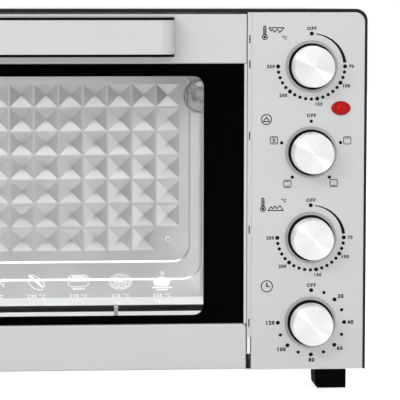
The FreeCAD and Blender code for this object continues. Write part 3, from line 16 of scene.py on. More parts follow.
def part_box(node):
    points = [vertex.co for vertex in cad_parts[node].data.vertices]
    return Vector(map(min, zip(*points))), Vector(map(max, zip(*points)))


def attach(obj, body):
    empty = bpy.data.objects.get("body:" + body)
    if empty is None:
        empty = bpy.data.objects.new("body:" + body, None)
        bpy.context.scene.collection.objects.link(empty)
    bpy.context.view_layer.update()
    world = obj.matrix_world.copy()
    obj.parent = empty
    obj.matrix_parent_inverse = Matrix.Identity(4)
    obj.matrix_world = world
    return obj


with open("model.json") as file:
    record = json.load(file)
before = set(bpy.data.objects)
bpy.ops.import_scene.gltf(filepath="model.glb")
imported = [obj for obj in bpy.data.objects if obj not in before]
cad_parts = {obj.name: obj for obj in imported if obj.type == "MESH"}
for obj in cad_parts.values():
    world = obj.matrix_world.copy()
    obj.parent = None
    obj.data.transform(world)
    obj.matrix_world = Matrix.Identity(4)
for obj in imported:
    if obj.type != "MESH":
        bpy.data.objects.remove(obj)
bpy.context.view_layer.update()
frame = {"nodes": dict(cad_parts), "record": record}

MM = 0.001

# %% [markdown]
# The picture was taken from about two metres, level with the top of the oven, and cropped to its right
# end, so every edge that runs away from the viewer points at the picture's upper left. A small lens shift
# gives part of that crop, and a slight turn of the camera the rest, so that other views still hold the
# whole oven.

# %% Camera
# Sensor and lens in millimetres, turns in radians, and the shift as a share of the sensor
SENSOR_WIDTH = 36.0
CAMERA_LENS = 177.6
CAMERA_PLACE = Vector((-13.7, -2006.7, 370.5)) * MM
CAMERA_PAN = 0.0638
CAMERA_TILT = 0.0792
CAMERA_SHIFT = 0.1


def make_camera():
    """Stand the camera in front of the oven, turned a little to the right and down."""
    lens = bpy.data.cameras.new("picture_camera")
    lens.lens = CAMERA_LENS
    lens.sensor_width = SENSOR_WIDTH
    lens.shift_x = CAMERA_SHIFT
    lens.shift_y = -CAMERA_SHIFT
    camera = bpy.data.objects.new("picture_camera", lens)
    camera.location = CAMERA_PLACE
    camera.rotation_euler = (math.pi / 2 - CAMERA_TILT, 0, -CAMERA_PAN)
    bpy.context.scene.collection.objects.link(camera)
    bpy.context.scene.camera = camera
    return camera


camera = make_camera()

# %% [markdown]
# A node tree is easier to read when one line adds a node with its settings and links. These helpers do
# that for the world, the floor and every finish below: an input that is given a socket is linked, and one
# that is given a number or colour is set.

# %% Node helpers
def add_node(tree, kind, inputs=None, **settings):
    """Add a node, set its properties, and link or fill its inputs."""
    node = tree.nodes.new(kind)
    for name, value in settings.items():
        setattr(node, name, value)
    for name, value in (inputs or {}).items():
        if isinstance(value, bpy.types.NodeSocket):
            tree.links.new(value, node.inputs[name])
        else:
            node.inputs[name].default_value = value
    return node


def grey(level):
    """A neutral, solid colour."""
    return (level, level, level, 1.0)


def seen_directly(tree):
    """A mask that is one for rays that the camera, a mirror or glass sends, and zero for lighting."""
    rays = add_node(tree, "ShaderNodeLightPath").outputs
    first = add_node(tree, "ShaderNodeMath", {0: rays["Is Camera Ray"], 1: rays["Is Glossy Ray"]},
                     operation="MAXIMUM")
    both = add_node(tree, "ShaderNodeMath", {0: first.outputs[0], 1: rays["Is Transmission Ray"]},
                    operation="MAXIMUM")
    return both.outputs[0]


# %% [markdown]
# The picture's background is plain white. White light from all round would flatten the steel, so the
# world is white only where it is seen, straight, in a mirror or through glass, and dimmer where it lights
# a surface. The floor does the same: part of its white is its own, and the rest is light, which keeps the
# shadow.

# %% World and floor
WORLD_LIGHT = 0.75
FLOOR_REACH = 6.0
FLOOR_COLOUR = 0.5
FLOOR_OWN_WHITE = 0.82


def make_world():
    """White where it is seen, and a dimmer, even light everywhere else."""
    world = bpy.data.worlds.new("studio")
    world.use_nodes = True
    tree = world.node_tree
    tree.nodes.clear()
    light = add_node(tree, "ShaderNodeBackground", {"Color": grey(1.0), "Strength": WORLD_LIGHT})
    white = add_node(tree, "ShaderNodeBackground", {"Color": grey(1.0), "Strength": 1.0})
    mix = add_node(tree, "ShaderNodeMixShader", {0: seen_directly(tree), 1: light.outputs[0],
                                                 2: white.outputs[0]})
    add_node(tree, "ShaderNodeOutputWorld", {"Surface": mix.outputs[0]})
    bpy.context.scene.world = world


def make_floor():
    """A wide table top, lifted towards white where it is seen."""
    shape = bmesh.new()
    bmesh.ops.create_grid(shape, x_segments=1, y_segments=1, size=FLOOR_REACH)
    mesh = bpy.data.meshes.new("floor")
    shape.to_mesh(mesh)
    shape.free()
    floor = bpy.data.objects.new("floor", mesh)
    bpy.context.scene.collection.objects.link(floor)
    material = bpy.data.materials.new("floor")
    material.use_nodes = True
    tree = material.node_tree
    tree.nodes.clear()
    lit = add_node(tree, "ShaderNodeBsdfDiffuse", {"Color": grey(FLOOR_COLOUR)})
    own = add_node(tree, "ShaderNodeEmission", {"Color": grey(FLOOR_OWN_WHITE),
                                                "Strength": seen_directly(tree)})
    both = add_node(tree, "ShaderNodeAddShader", {0: lit.outputs[0], 1: own.outputs[0]})
    add_node(tree, "ShaderNodeOutputMaterial", {"Surface": both.outputs[0]})
    mesh.materials.append(material)


make_world()
make_floor()
bpy.context.scene.view_settings.view_transform = "Standard"
print("world light:", WORLD_LIGHT, "floor:", FLOOR_COLOUR, "+", FLOOR_OWN_WHITE)

# %% [markdown]
# Steel shows its lamps more than its colour. One broad lamp above the camera is the key: it opens every
# sheet that faces the room, and its width fans out the bright bow on the turned knobs. A low, wide one
# under it fills what the key leaves dark, below the handle and in the dishes, and is kept out of
# reflections, where it would drown the bow. A weak lamp at each side, one overhead and one behind keep
# the other views readable, and a narrow one puts the glint on the red lens. Four lamps inside the liner
# do the work of the oven's own bulb: the one under the roof has a narrow spread, so it passes the flat
# top of the back wall and lights the dents below. No lamp is seen itself, straight or through glass.

# %% Lamps
# Each lamp: place and aim in metres, width and height in metres, power in watts, and its spread in
# degrees where that is narrow
LAMPS = {
    "key_lamp": ((0.2, -1.9, 1.55), (0.0, 0.0, 0.18), 2.4, 0.9, 7.8),
    "fill_lamp": ((0.1, -1.7, 0.22), (0.1, 0.0, 0.24), 2.0, 0.36, 5.0),
    "left_lamp": ((-1.9, -1.3, 0.7), (0.0, 0.0, 0.2), 0.7, 1.4, 2.0),
    "right_lamp": ((1.9, -1.2, 0.8), (0.0, 0.0, 0.2), 0.7, 1.4, 2.0),
    "top_lamp": ((0.0, 0.15, 1.9), (0.0, 0.0, 0.3), 1.6, 1.0, 5.5),
    "back_lamp": ((0.4, 2.0, 1.2), (0.0, 0.0, 0.2), 1.4, 1.0, 8.0),
    "glint_lamp": ((-1.0, -1.8, 1.3), (0.27, -0.17, 0.27), 0.9, 0.12, 12.0),
    "liner_roof_lamp": ((-0.055, 0.105, 0.331), (-0.055, 0.105, 0.0), 0.44, 0.09, 0.2, 70.0),
    "liner_front_lamp": ((-0.055, -0.142, 0.136), (-0.055, 0.16, 0.15), 0.42, 0.05, 0.015),
    "liner_right_lamp": ((0.171, 0.1, 0.15), (-0.3, 0.1, 0.15), 0.11, 0.2, 0.07),
    "liner_left_lamp": ((-0.279, 0.1, 0.17), (0.3, 0.1, 0.17), 0.11, 0.24, 0.13),
}
HIDDEN_IN_MIRRORS = ("fill_lamp",)


def make_lamp(name, place, aim, width, height, power, spread=180.0):
    """A soft rectangular lamp, turned towards its aim."""
    light = bpy.data.lights.new(name, "AREA")
    light.shape = "RECTANGLE"
    light.size = width
    light.size_y = height
    light.energy = power
    light.spread = math.radians(spread)
    lamp = bpy.data.objects.new(name, light)
    lamp.location = place
    lamp.rotation_euler = (Vector(aim) - Vector(place)).to_track_quat("-Z", "Y").to_euler()
    lamp.visible_camera = False
    lamp.visible_transmission = False
    lamp.visible_glossy = name not in HIDDEN_IN_MIRRORS
    bpy.context.scene.collection.objects.link(lamp)
    return light


lights = [make_lamp(name, *settings) for name, settings in LAMPS.items()]
print("lamps:", len(lights), "watts in all:", round(sum(light.energy for light in lights), 2))

# %% [markdown]
# Several finishes share an effect: streaks of brushing, the cloudiness of a wiped surface, the crystals
# of a zinc coat, the grain of a moulding. Each effect is a node group whose inputs are its sizes in
# metres, so the same group can be coarse on one sheet and fine on the next. A group gives out only masks
# between zero and one, and each finish decides what a mask does.

# %% Effect groups
FINE_STREAKS = 3.0


def new_group(name, inputs, outputs):
    """An empty node group with named sockets, and its two end nodes."""
    group = bpy.data.node_groups.new(name, "ShaderNodeTree")
    for label, kind, value in inputs:
        socket = group.interface.new_socket(label, in_out="INPUT", socket_type=f"NodeSocket{kind}")
        if value is not None:
            socket.default_value = value
    for label in outputs:
        group.interface.new_socket(label, in_out="OUTPUT", socket_type="NodeSocketFloat")
    return group, group.nodes.new("NodeGroupInput"), group.nodes.new("NodeGroupOutput")


def stretched(group, start, *sizes):
    """The group's vector divided by a size along each axis, so that a noise comes out that long."""
    size = add_node(group, "ShaderNodeCombineXYZ", dict(enumerate(sizes)))
    return add_node(group, "ShaderNodeVectorMath", {0: start.outputs["Vector"], 1: size.outputs[0]},
                    operation="DIVIDE").outputs[0]


def make_brushing():
    """Streaks along X: long ones, with ones a third as wide laid over them."""
    group, start, end = new_group("brushing", [("Vector", "Vector", None), ("Length", "Float", 0.05),
                                               ("Width", "Float", 0.0008)], ["Streaks", "Fine"])
    length = start.outputs["Length"]
    width = start.outputs["Width"]
    coarse = add_node(group, "ShaderNodeTexNoise", {
        "Vector": stretched(group, start, length, width, width),
        "Scale": 1.0, "Detail": 3.0, "Roughness": 0.6})
    narrow = add_node(group, "ShaderNodeMath", {0: width, 1: FINE_STREAKS}, operation="DIVIDE").outputs[0]
    fine = add_node(group, "ShaderNodeTexNoise", {
        "Vector": stretched(group, start, length, narrow, narrow), "Scale": 1.0, "Detail": 2.0})
    group.links.new(coarse.outputs["Fac"], end.inputs["Streaks"])
    group.links.new(fine.outputs["Fac"], end.inputs["Fine"])
    return group


def make_clouds():
    """Broad, soft patches, as wiping leaves on any smooth surface."""
    group, start, end = new_group("clouds", [("Vector", "Vector", None), ("Size", "Float", 0.06)],
                                  ["Cloud"])
    size = start.outputs["Size"]
    noise = add_node(group, "ShaderNodeTexNoise", {
        "Vector": stretched(group, start, size, size, size),
        "Scale": 1.0, "Detail": 4.0, "Roughness": 0.55})
    group.links.new(noise.outputs["Fac"], end.inputs["Cloud"])
    return group


def make_crystals():
    """Flat crystal patches of a metal coat, each with its own tone."""
    group, start, end = new_group("crystals", [("Vector", "Vector", None), ("Size", "Float", 0.006)],
                                  ["Tone"])
    size = start.outputs["Size"]
    cells = add_node(group, "ShaderNodeTexVoronoi", {
        "Vector": stretched(group, start, size, size, size), "Scale": 1.0})
    tone = add_node(group, "ShaderNodeSeparateColor", {0: cells.outputs["Color"]})
    group.links.new(tone.outputs["Red"], end.inputs["Tone"])
    return group


def make_grain():
    """The fine pebbling of a spark-eroded mould or a sprayed coat."""
    group, start, end = new_group("grain", [("Vector", "Vector", None), ("Size", "Float", 0.0006)],
                                  ["Height"])
    size = start.outputs["Size"]
    noise = add_node(group, "ShaderNodeTexNoise", {
        "Vector": stretched(group, start, size, size, size), "Scale": 1.0, "Detail": 2.0})
    group.links.new(noise.outputs["Fac"], end.inputs["Height"])
    return group


GROUPS = {group.name: group for group in (make_brushing(), make_clouds(), make_crystals(), make_grain())}
print("effect groups:", sorted(GROUPS))

# %% [markdown]
# A finish starts as one Principled shader. Its plain values sit on the shader's own sockets, and a mask
# from a group moves colour, roughness or height about those values, by the amounts that each finish
# gives. Object coordinates are the oven's own metres, so a streak keeps its size on every sheet.

# %% Finish helpers
class Finish:
    """A material with one Principled shader, and short calls that vary it over the surface."""

    def __init__(self, name, colour, roughness, **sockets):
        self.material = bpy.data.materials.new(name)
        self.material.use_nodes = True
        self.tree = self.material.node_tree
        self.tree.nodes.clear()
        self.colour = colour
        self.shader = add_node(self.tree, "ShaderNodeBsdfPrincipled", {
            "Base Color": (*colour, 1.0), "Roughness": roughness, **sockets})
        self.output = add_node(self.tree, "ShaderNodeOutputMaterial", {"Surface": self.shader.outputs[0]})
        self.place = add_node(self.tree, "ShaderNodeTexCoord").outputs["Object"]

    def effect(self, group, output, **sizes):
        """Lay an effect group over the surface and give back one of its masks."""
        node = add_node(self.tree, "ShaderNodeGroup", node_tree=GROUPS[group])
        self.tree.links.new(self.place, node.inputs["Vector"])
        for name, value in sizes.items():
            node.inputs[name].default_value = value
        return node.outputs[output]

    def from_axis(self, centre):
        """The distance in metres from an axis along Y through the centre."""
        offset = add_node(self.tree, "ShaderNodeVectorMath", {0: self.place, 1: centre},
                          operation="SUBTRACT").outputs[0]
        flat = add_node(self.tree, "ShaderNodeVectorMath", {0: offset, 1: (1.0, 0.0, 1.0)},
                        operation="MULTIPLY").outputs[0]
        return add_node(self.tree, "ShaderNodeVectorMath", {0: flat}, operation="LENGTH").outputs["Value"]

    def span(self, mask, low, high, start=0.3, end=0.7):
        """Spread a mask's range from start to end over the values from low to high."""
        return add_node(self.tree, "ShaderNodeMapRange", {
            "Value": mask, "From Min": start, "From Max": end, "To Min": low, "To Max": high}).outputs[0]

    def tint(self, *tones):
        """Multiply the colour by one or more tones."""
        tone = tones[0]
        for other in tones[1:]:
            product = add_node(self.tree, "ShaderNodeMath", {0: tone, 1: other}, operation="MULTIPLY")
            tone = product.outputs[0]
        scaled = add_node(self.tree, "ShaderNodeVectorMath", {0: self.colour, "Scale": tone},
                          operation="SCALE")
        self.tree.links.new(scaled.outputs[0], self.shader.inputs["Base Color"])

    def gloss(self, roughness):
        """Let the roughness follow a mask."""
        self.tree.links.new(roughness, self.shader.inputs["Roughness"])

    def relief(self, height, distance, strength):
        """Raise and lower the surface by a mask, over a distance in metres."""
        bump = add_node(self.tree, "ShaderNodeBump", {"Height": height, "Distance": distance,
                                                      "Strength": strength})
        self.tree.links.new(bump.outputs[0], self.shader.inputs["Normal"])


# %% [markdown]
# Brushed stainless is what the picture shows most: the fascia, both door strips and the front of the
# handle. The belt that brushes it leaves streaks a few centimetres long and under a millimetre wide. They
# hardly change the colour, so the streaks move the tone by a few hundredths and the roughness a little
# more, and a low bump breaks the reflections across the grain. The fine scratches also scatter light, so
# the sheet is only partly metallic. Where the sheet is drawn into a dish round each knob, the knob shades
# it, so the fascia gets painted light there: a tone that rises with the depth behind its front. The
# step along its left edge lies behind the front as well, but is bent and not drawn, and stays plain.

# %% Brushed steel
# Painted light in the knobs' dishes, where the knobs shade the fascia: the tone it rises to, the depth
# over which it rises, and the width of the plain step at the left edge
DISH_PAINTED_LIGHT = 1.45
DISH_LIGHT_BLEND = 0.8 * MM
EDGE_STEP = 12.0 * MM


def painted_dish_light(finish, front):
    """Painted light: a tone that rises behind the sheet's front corner, in the dishes the knobs shade, and
    leaves out the step at its left edge.
    """
    place = add_node(finish.tree, "ShaderNodeSeparateXYZ", {0: finish.place}).outputs
    step = front.x + EDGE_STEP
    depth = finish.span(place["Y"], 0.0, 1.0, front.y, front.y + DISH_LIGHT_BLEND)
    past_step = finish.span(place["X"], 0.0, 1.0, step, step + DISH_LIGHT_BLEND)
    dish = add_node(finish.tree, "ShaderNodeMath", {0: depth, 1: past_step}, operation="MULTIPLY")
    return finish.span(dish.outputs[0], 1.0, DISH_PAINTED_LIGHT, 0.0, 1.0)


def brushed_steel(name, colour, roughness, width, metallic=1.0, front=None):
    """Belt-brushed sheet with its grain along X, and painted light in its dishes if its front corner is
    given.
    """
    finish = Finish(name, colour, roughness, Metallic=metallic)
    streaks = finish.effect("brushing", "Streaks", Length=0.045, Width=width)
    fine = finish.effect("brushing", "Fine", Length=0.02, Width=width)
    cloud = finish.effect("clouds", "Cloud", Size=0.12)
    tones = [finish.span(streaks, 0.98, 1.015), finish.span(cloud, 0.98, 1.01)]
    if front is not None:
        tones.append(painted_dish_light(finish, front))
    finish.tint(*tones)
    finish.gloss(finish.span(fine, roughness - 0.06, roughness + 0.06))
    finish.relief(streaks, distance=0.00002, strength=0.5)
    return finish.material


# %% [markdown]
# The other steels are coated. The liner's aluminised sheet is satin, with hardly any grain. Zinc grows in
# crystals, large on the galvanised sheets and tiny on plated screws, so one finish with a size serves
# them all. The heating rods wear a dark oxide.

# %% Coated steel
def liner_steel(name, colour, metallic):
    """Aluminised liner: satin, with faint clouds and hardly any grain."""
    finish = Finish(name, colour, 0.45, Metallic=metallic)
    cloud = finish.effect("clouds", "Cloud", Size=0.04)
    streaks = finish.effect("brushing", "Streaks", Length=0.03, Width=0.0006)
    finish.tint(finish.span(cloud, 0.95, 1.03), finish.span(streaks, 0.985, 1.01))
    finish.gloss(finish.span(cloud, 0.41, 0.50))
    finish.relief(streaks, distance=0.00001, strength=0.3)
    return finish.material


def coated_steel(name, colour, roughness, size):
    """Zinc-coated sheet, with crystals of one size."""
    finish = Finish(name, colour, roughness, Metallic=1.0)
    tone = finish.effect("crystals", "Tone", Size=size)
    cloud = finish.effect("clouds", "Cloud", Size=0.05)
    finish.tint(finish.span(tone, 0.86, 1.06, 0.0, 1.0), finish.span(cloud, 0.96, 1.03))
    finish.gloss(finish.span(tone, roughness - 0.07, roughness + 0.07, 0.0, 1.0))
    return finish.material


def rod_sheath():
    """Heating rod: dark oxide with a low sheen, patchy from the first firing."""
    finish = Finish("rod_sheath", (0.012, 0.012, 0.012), 0.36, Metallic=0.3, **{"Specular IOR Level": 0.2})
    cloud = finish.effect("clouds", "Cloud", Size=0.012)
    finish.tint(finish.span(cloud, 0.7, 1.4))
    finish.gloss(finish.span(cloud, 0.3, 0.5))
    finish.relief(finish.effect("grain", "Height", Size=0.0009), distance=0.00003, strength=0.4)
    return finish.material


# %% [markdown]
# The knobs' caps are turned from aluminium, and the tool leaves rings about the axis. Rings spread a
# lamp's reflection into a bright bow through the middle, which is what makes such a face look spun. An
# anisotropic reflection that is turned a quarter from a tangent round the axis stretches across the rings.
# It does this for any lamp and any turn of the knob, so no highlight is painted on. The rings themselves
# are drawn from the distance to the axis.

# %% Spun aluminium
RINGS_PER_METRE = 2600.0
QUARTER_TURN = 0.25


def spun_aluminium(name, centre):
    """Turned face about an axis along Y through the centre."""
    finish = Finish(name, (0.77, 0.77, 0.77), 0.4, Metallic=1.0, Anisotropic=0.95,
                    **{"Anisotropic Rotation": QUARTER_TURN})
    rings = add_node(finish.tree, "ShaderNodeTexNoise", noise_dimensions="1D", inputs={
        "W": finish.from_axis(centre), "Scale": RINGS_PER_METRE, "Detail": 2.0}).outputs["Fac"]
    tangent = add_node(finish.tree, "ShaderNodeTangent", direction_type="RADIAL", axis="Y")
    finish.tree.links.new(tangent.outputs[0], finish.shader.inputs["Tangent"])
    finish.tint(finish.span(rings, 0.97, 1.02))
    finish.gloss(finish.span(rings, 0.36, 0.44))
    return finish.material


# %% [markdown]
# Most painted and moulded parts are black, and differ in how they break a reflection: the housing's
# enamel is smooth with a faint orange-peel, the mouldings are pebbled, and the print fired on the glass
# is as smooth as the glass over it. Pale rubber, porcelain and the inks are made as mouldings too, each
# with its own colour and grain.

# %% Paints and mouldings
def black_enamel():
    """Baked enamel over steel."""
    finish = Finish("black_enamel", (0.006, 0.006, 0.007), 0.34, **{"Specular IOR Level": 0.2})
    cloud = finish.effect("clouds", "Cloud", Size=0.08)
    finish.tint(finish.span(cloud, 0.8, 1.2))
    finish.gloss(finish.span(cloud, 0.32, 0.37))
    finish.relief(finish.effect("grain", "Height", Size=0.0022), distance=0.00006, strength=0.35)
    return finish.material


def moulding(name, colour, roughness, size=0.0007, specular=0.5):
    """Moulded, cast or printed surface with a fine grain."""
    finish = Finish(name, colour, roughness, **{"Specular IOR Level": specular})
    grain = finish.effect("grain", "Height", Size=size)
    cloud = finish.effect("clouds", "Cloud", Size=0.03)
    finish.tint(finish.span(cloud, 0.9, 1.1), finish.span(grain, 0.96, 1.04))
    finish.gloss(finish.span(cloud, roughness - 0.05, roughness + 0.06))
    finish.relief(grain, distance=0.00005, strength=0.35)
    return finish.material


def silver_plastic():
    """Silver paint over plastic, on the handle's ends."""
    finish = Finish("silver_plastic", (0.50, 0.50, 0.50), 0.5, Metallic=0.2)
    finish.tint(finish.span(finish.effect("clouds", "Cloud", Size=0.02), 0.96, 1.03))
    finish.relief(finish.effect("grain", "Height", Size=0.0005), distance=0.00002, strength=0.2)
    return finish.material


def glass_print():
    """Black ceramic ink behind the pane."""
    finish = Finish("glass_print", (0.0012, 0.0012, 0.0014), 0.5, **{"Specular IOR Level": 0.0})
    finish.tint(finish.span(finish.effect("clouds", "Cloud", Size=0.1), 0.8, 1.3))
    return finish.material


# %% [markdown]
# Rendered glass would keep the lamps' light out of the liner, because a shadow ray stops at it. So both
# kinds of glass turn transparent for shadow rays, and stay glass for all that is seen through them. The
# power lamp's lens is a red moulding under a clear gloss, with painted shade: a darker ring where its
# dome meets the oval round it.

# %% Glass and lens
OPEN_AIR = (0.97, 0.98, 0.98, 1.0)
DOME_RADIUS = 6.1 * MM
CREASE_SHADE_WIDTH = 0.9 * MM


def clear_glass(name, index):
    """Glass that lets the lamps' light through to what is behind it; a low index keeps its gloss faint."""
    finish = Finish(name, (0.98, 0.98, 0.98), 0.0, IOR=index, **{"Transmission Weight": 1.0})
    rays = add_node(finish.tree, "ShaderNodeLightPath").outputs
    open_air = add_node(finish.tree, "ShaderNodeBsdfTransparent", {"Color": OPEN_AIR})
    mix = add_node(finish.tree, "ShaderNodeMixShader", {0: rays["Is Shadow Ray"],
                                                        1: finish.shader.outputs[0],
                                                        2: open_air.outputs[0]})
    finish.tree.links.new(mix.outputs[0], finish.output.inputs["Surface"])
    return finish


def door_pane():
    """The door's flat pane, with the faintest haze from wiping."""
    finish = clear_glass("door_pane", 1.08)
    cloud = finish.effect("clouds", "Cloud", Size=0.09)
    finish.gloss(finish.span(cloud, 0.0, 0.015))
    return finish.material


def lamp_dome():
    """Pressed glass of the oven's lamp, rippled by its mould."""
    finish = clear_glass("lamp_dome", 1.45)
    finish.relief(finish.effect("clouds", "Cloud", Size=0.0045), distance=0.0014, strength=0.8)
    return finish.material


def red_lens(centre):
    """Glossy red lens, with painted shade: a darker ring where the dome meets the oval."""
    finish = Finish("red_lens", (0.45, 0.001, 0.001), 0.14, **{
        "Specular IOR Level": 0.02, "Coat Weight": 0.26, "Coat Roughness": 0.03})
    gap = add_node(finish.tree, "ShaderNodeMath", {0: finish.from_axis(centre), 1: DOME_RADIUS},
                   operation="SUBTRACT").outputs[0]
    near = add_node(finish.tree, "ShaderNodeMath", {0: gap}, operation="ABSOLUTE").outputs[0]
    # Painted shade in the crease round the dome
    crease_shade = finish.span(near, 0.45, 1.0, 0.0, CREASE_SHADE_WIDTH)
    finish.tint(crease_shade, finish.span(finish.effect("clouds", "Cloud", Size=0.004), 0.85, 1.1))
    return finish.material


# %% [markdown]
# Every node names the slot that its finish comes from, so one table from slot to finish dresses nearly
# all of them. A second table holds the few nodes that differ from the rest of their slot, and each cap
# gets a spun finish about its own axis.

# %% Dress the nodes
STAINLESS = {"colour": (0.535, 0.542, 0.537), "roughness": 0.45, "width": 0.0009, "metallic": 0.2}
# The screws' bright zinc, also used for the hinge, where its lighter colour is painted light against the
# shade of its recess
ZINC_AND_PAINTED_LIGHT = (0.80, 0.80, 0.79)


def middle(node):
    """The middle of a node's box."""
    low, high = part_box(node)
    return (low + high) / 2


# Colour and roughness come first, and the width of streaks and the size of crystals or grain are metres
FINISHES = {
    "black_enamel": black_enamel(),
    "galvanised_steel": coated_steel("galvanised_steel", (0.60, 0.61, 0.62), 0.42, size=0.007),
    "brushed_steel": brushed_steel("brushed_steel", **STAINLESS),
    "door_sheet_steel": coated_steel("door_sheet_steel", (0.58, 0.58, 0.57), 0.38, size=0.0012),
    "liner_steel": liner_steel("liner_steel", (0.61, 0.615, 0.61), metallic=1.0),
    "silver_plastic": silver_plastic(),
    "black_plastic": moulding("black_plastic", (0.002, 0.002, 0.0025), 0.42, specular=0.05),
    "control_plastic": moulding("control_plastic", (0.045, 0.038, 0.033), 0.48),
    "clear_glass": door_pane(),
    "black_glass_print": glass_print(),
    "pale_rubber": moulding("pale_rubber", (0.62, 0.61, 0.58), 0.7, size=0.0012),
    "porcelain": moulding("porcelain", (0.74, 0.72, 0.67), 0.55, size=0.0009),
    "rod_sheath": rod_sheath(),
    "motor_steel": coated_steel("motor_steel", (0.22, 0.22, 0.23), 0.45, size=0.002),
    "fan_aluminium": brushed_steel("fan_aluminium", (0.72, 0.72, 0.72), 0.34, width=0.0006),
    "red_lens": red_lens(middle("power_lamp_lens")),
    "zinc_steel": coated_steel("zinc_steel", (0.66, 0.66, 0.64), 0.3, size=0.0008),
}
DOME_GLASS = lamp_dome()
# Nodes that differ from the rest of their slot: steel lightened by painted light (the fascia's dishes, the
# liner's floor and the hinge), bright zinc screws, duller black, and rippled glass
OWN_FINISHES = {
    "control_panel": brushed_steel("fascia_steel_dish_light", front=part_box("control_panel")[0], **STAINLESS),
    # Painted light: the liner's floor is its steel made lighter and less metallic, so that it shows bright
    # as if lit
    "cavity_floor": liner_steel("floor_steel_painted_light", (0.85, 0.855, 0.85), metallic=0.35),
    "cavity_screws": brushed_steel("bright_zinc", ZINC_AND_PAINTED_LIGHT, 0.4, width=0.0004, metallic=0.3),
    # The hinge is zinc steel made lighter and less metallic: painted light against the shade in its recess
    "hinge_brackets": brushed_steel("hinge_steel_painted_light", ZINC_AND_PAINTED_LIGHT, 0.4, width=0.0006, metallic=0.4),
    "feet": moulding("foot_plastic", (0.003, 0.003, 0.0035), 0.6, specular=0.01),
    "lamp_glass": DOME_GLASS,
    "lamp_bulb": DOME_GLASS,
}
for part in frame["record"]["subparts"]:
    name = part["node"]
    slot = part["material_slot"]
    if slot == "spun_aluminium":
        material = spun_aluminium(name, middle(name))
    elif name in OWN_FINISHES:
        material = OWN_FINISHES[name]
    else:
        material = FINISHES[slot]
    mesh = frame["nodes"][name].data
    mesh.materials.clear()
    mesh.materials.append(material)

# %% [markdown]
# The fascia's printing is ink a few hundredths of a millimetre thick. As a picture on the steel it would
# need an image, so it is cut as real, flat shapes in the plane of the sheet, and one extrusion at the end
# gives all marks of a dial their thickness. Dots and strokes are bmesh circles and grids. The marks are
# laid out about each knob's axis, with angles counted clockwise from the top, as on a dial. Marks that
# cross would flicker in one plane, so they are dealt out to a dozen planes, a hair apart.

# %% Dots and strokes
DOT_SIDES = 24
SMALL_SIDES = 10
LAYER_STEP = 0.004 * MM
LAYER_COUNT = 12
# Turns a shape that was made lying flat to stand in the plane of the sheet
STAND_UP = Matrix.Rotation(math.pi / 2, 4, "X")


def dial_point(centre, radius, degrees):
    """A point on a dial, with its angle clockwise from the top."""
    angle = math.radians(degrees)
    return centre[0] + radius * math.sin(angle), centre[1] + radius * math.cos(angle)


def layer(ink):
    """How far forward the next mark lies, so that marks that cross aren't in one plane."""
    return -LAYER_STEP * (len(ink.faces) % LAYER_COUNT)


def dot(ink, point, radius, sides=DOT_SIDES):
    """A filled disc."""
    place = Matrix.Translation((point[0], layer(ink), point[1])) @ STAND_UP
    bmesh.ops.create_circle(ink, cap_ends=True, segments=sides, radius=radius, matrix=place)


def bar(ink, start, end, width):
    """A straight stroke with square ends."""
    way = Vector((end[0] - start[0], 0, end[1] - start[1]))
    halfway = Vector((start[0] + end[0], 2 * layer(ink), start[1] + end[1])) / 2
    turn = Matrix.Rotation(math.atan2(-way.z, way.x), 4, "Y")
    size = Matrix.Diagonal((way.length, 1, width, 1))
    bmesh.ops.create_grid(ink, x_segments=1, y_segments=1, size=0.5,
                          matrix=Matrix.Translation(halfway) @ turn @ size @ STAND_UP)


def path(ink, points, width, closed=False):
    """Strokes from point to point, with round joints."""
    ends = points[1:] + points[:1] if closed else points[1:]
    for start, end in zip(points, ends):
        bar(ink, start, end, width)
    for point in points:
        dot(ink, point, width / 2, SMALL_SIDES)


# %% [markdown]
# A round stroke is a short edge across the line, spun about the middle. Spinning keeps its width, so a
# wedge is made by moving each point in or out afterwards, by the share of the way that it has gone.

# %% Round strokes
RING_STEP = 7.5
FEWEST_STEPS = 8
ANGLE_SLACK = 1.0


def ring(ink, centre, radius, width, start=0.0, sweep=360.0, end_width=None):
    """A round stroke about a centre, which may change its width on the way."""
    end_width = width if end_width is None else end_width
    first = [ink.verts.new((centre[0], 0, centre[1] + radius + side * width / 2)) for side in (-1, 1)]
    edge = ink.edges.new(first)
    hub = Vector((centre[0], 0, centre[1]))
    bmesh.ops.rotate(ink, verts=first, cent=hub, matrix=Matrix.Rotation(math.radians(start), 3, "Y"))
    before = len(ink.verts)
    bmesh.ops.spin(ink, geom=[*first, edge], cent=hub, axis=(0, 1, 0), angle=math.radians(sweep),
                   steps=max(FEWEST_STEPS, round(sweep / RING_STEP)), use_merge=sweep >= 360)
    ink.verts.ensure_lookup_table()
    for vert in [*first, *ink.verts[before:]]:
        arm = vert.co - hub
        degrees = (math.degrees(math.atan2(arm.x, arm.z)) - start) % 360
        # A first point whose angle rounds to just under a full turn is still at the start
        share = min(degrees / sweep, 1.0) if degrees < sweep + ANGLE_SLACK else 0.0
        side = 1 if arm.length > radius else -1
        vert.co = hub + arm.normalized() * (radius + side * (width + (end_width - width) * share) / 2)


# %% [markdown]
# Letters come from a text curve, which Blender fills as flat shapes. The curve is made a mesh before it
# is placed, so that its height can be measured on the real outlines and set in millimetres.

# %% Letters
LETTER_STEPS = 3


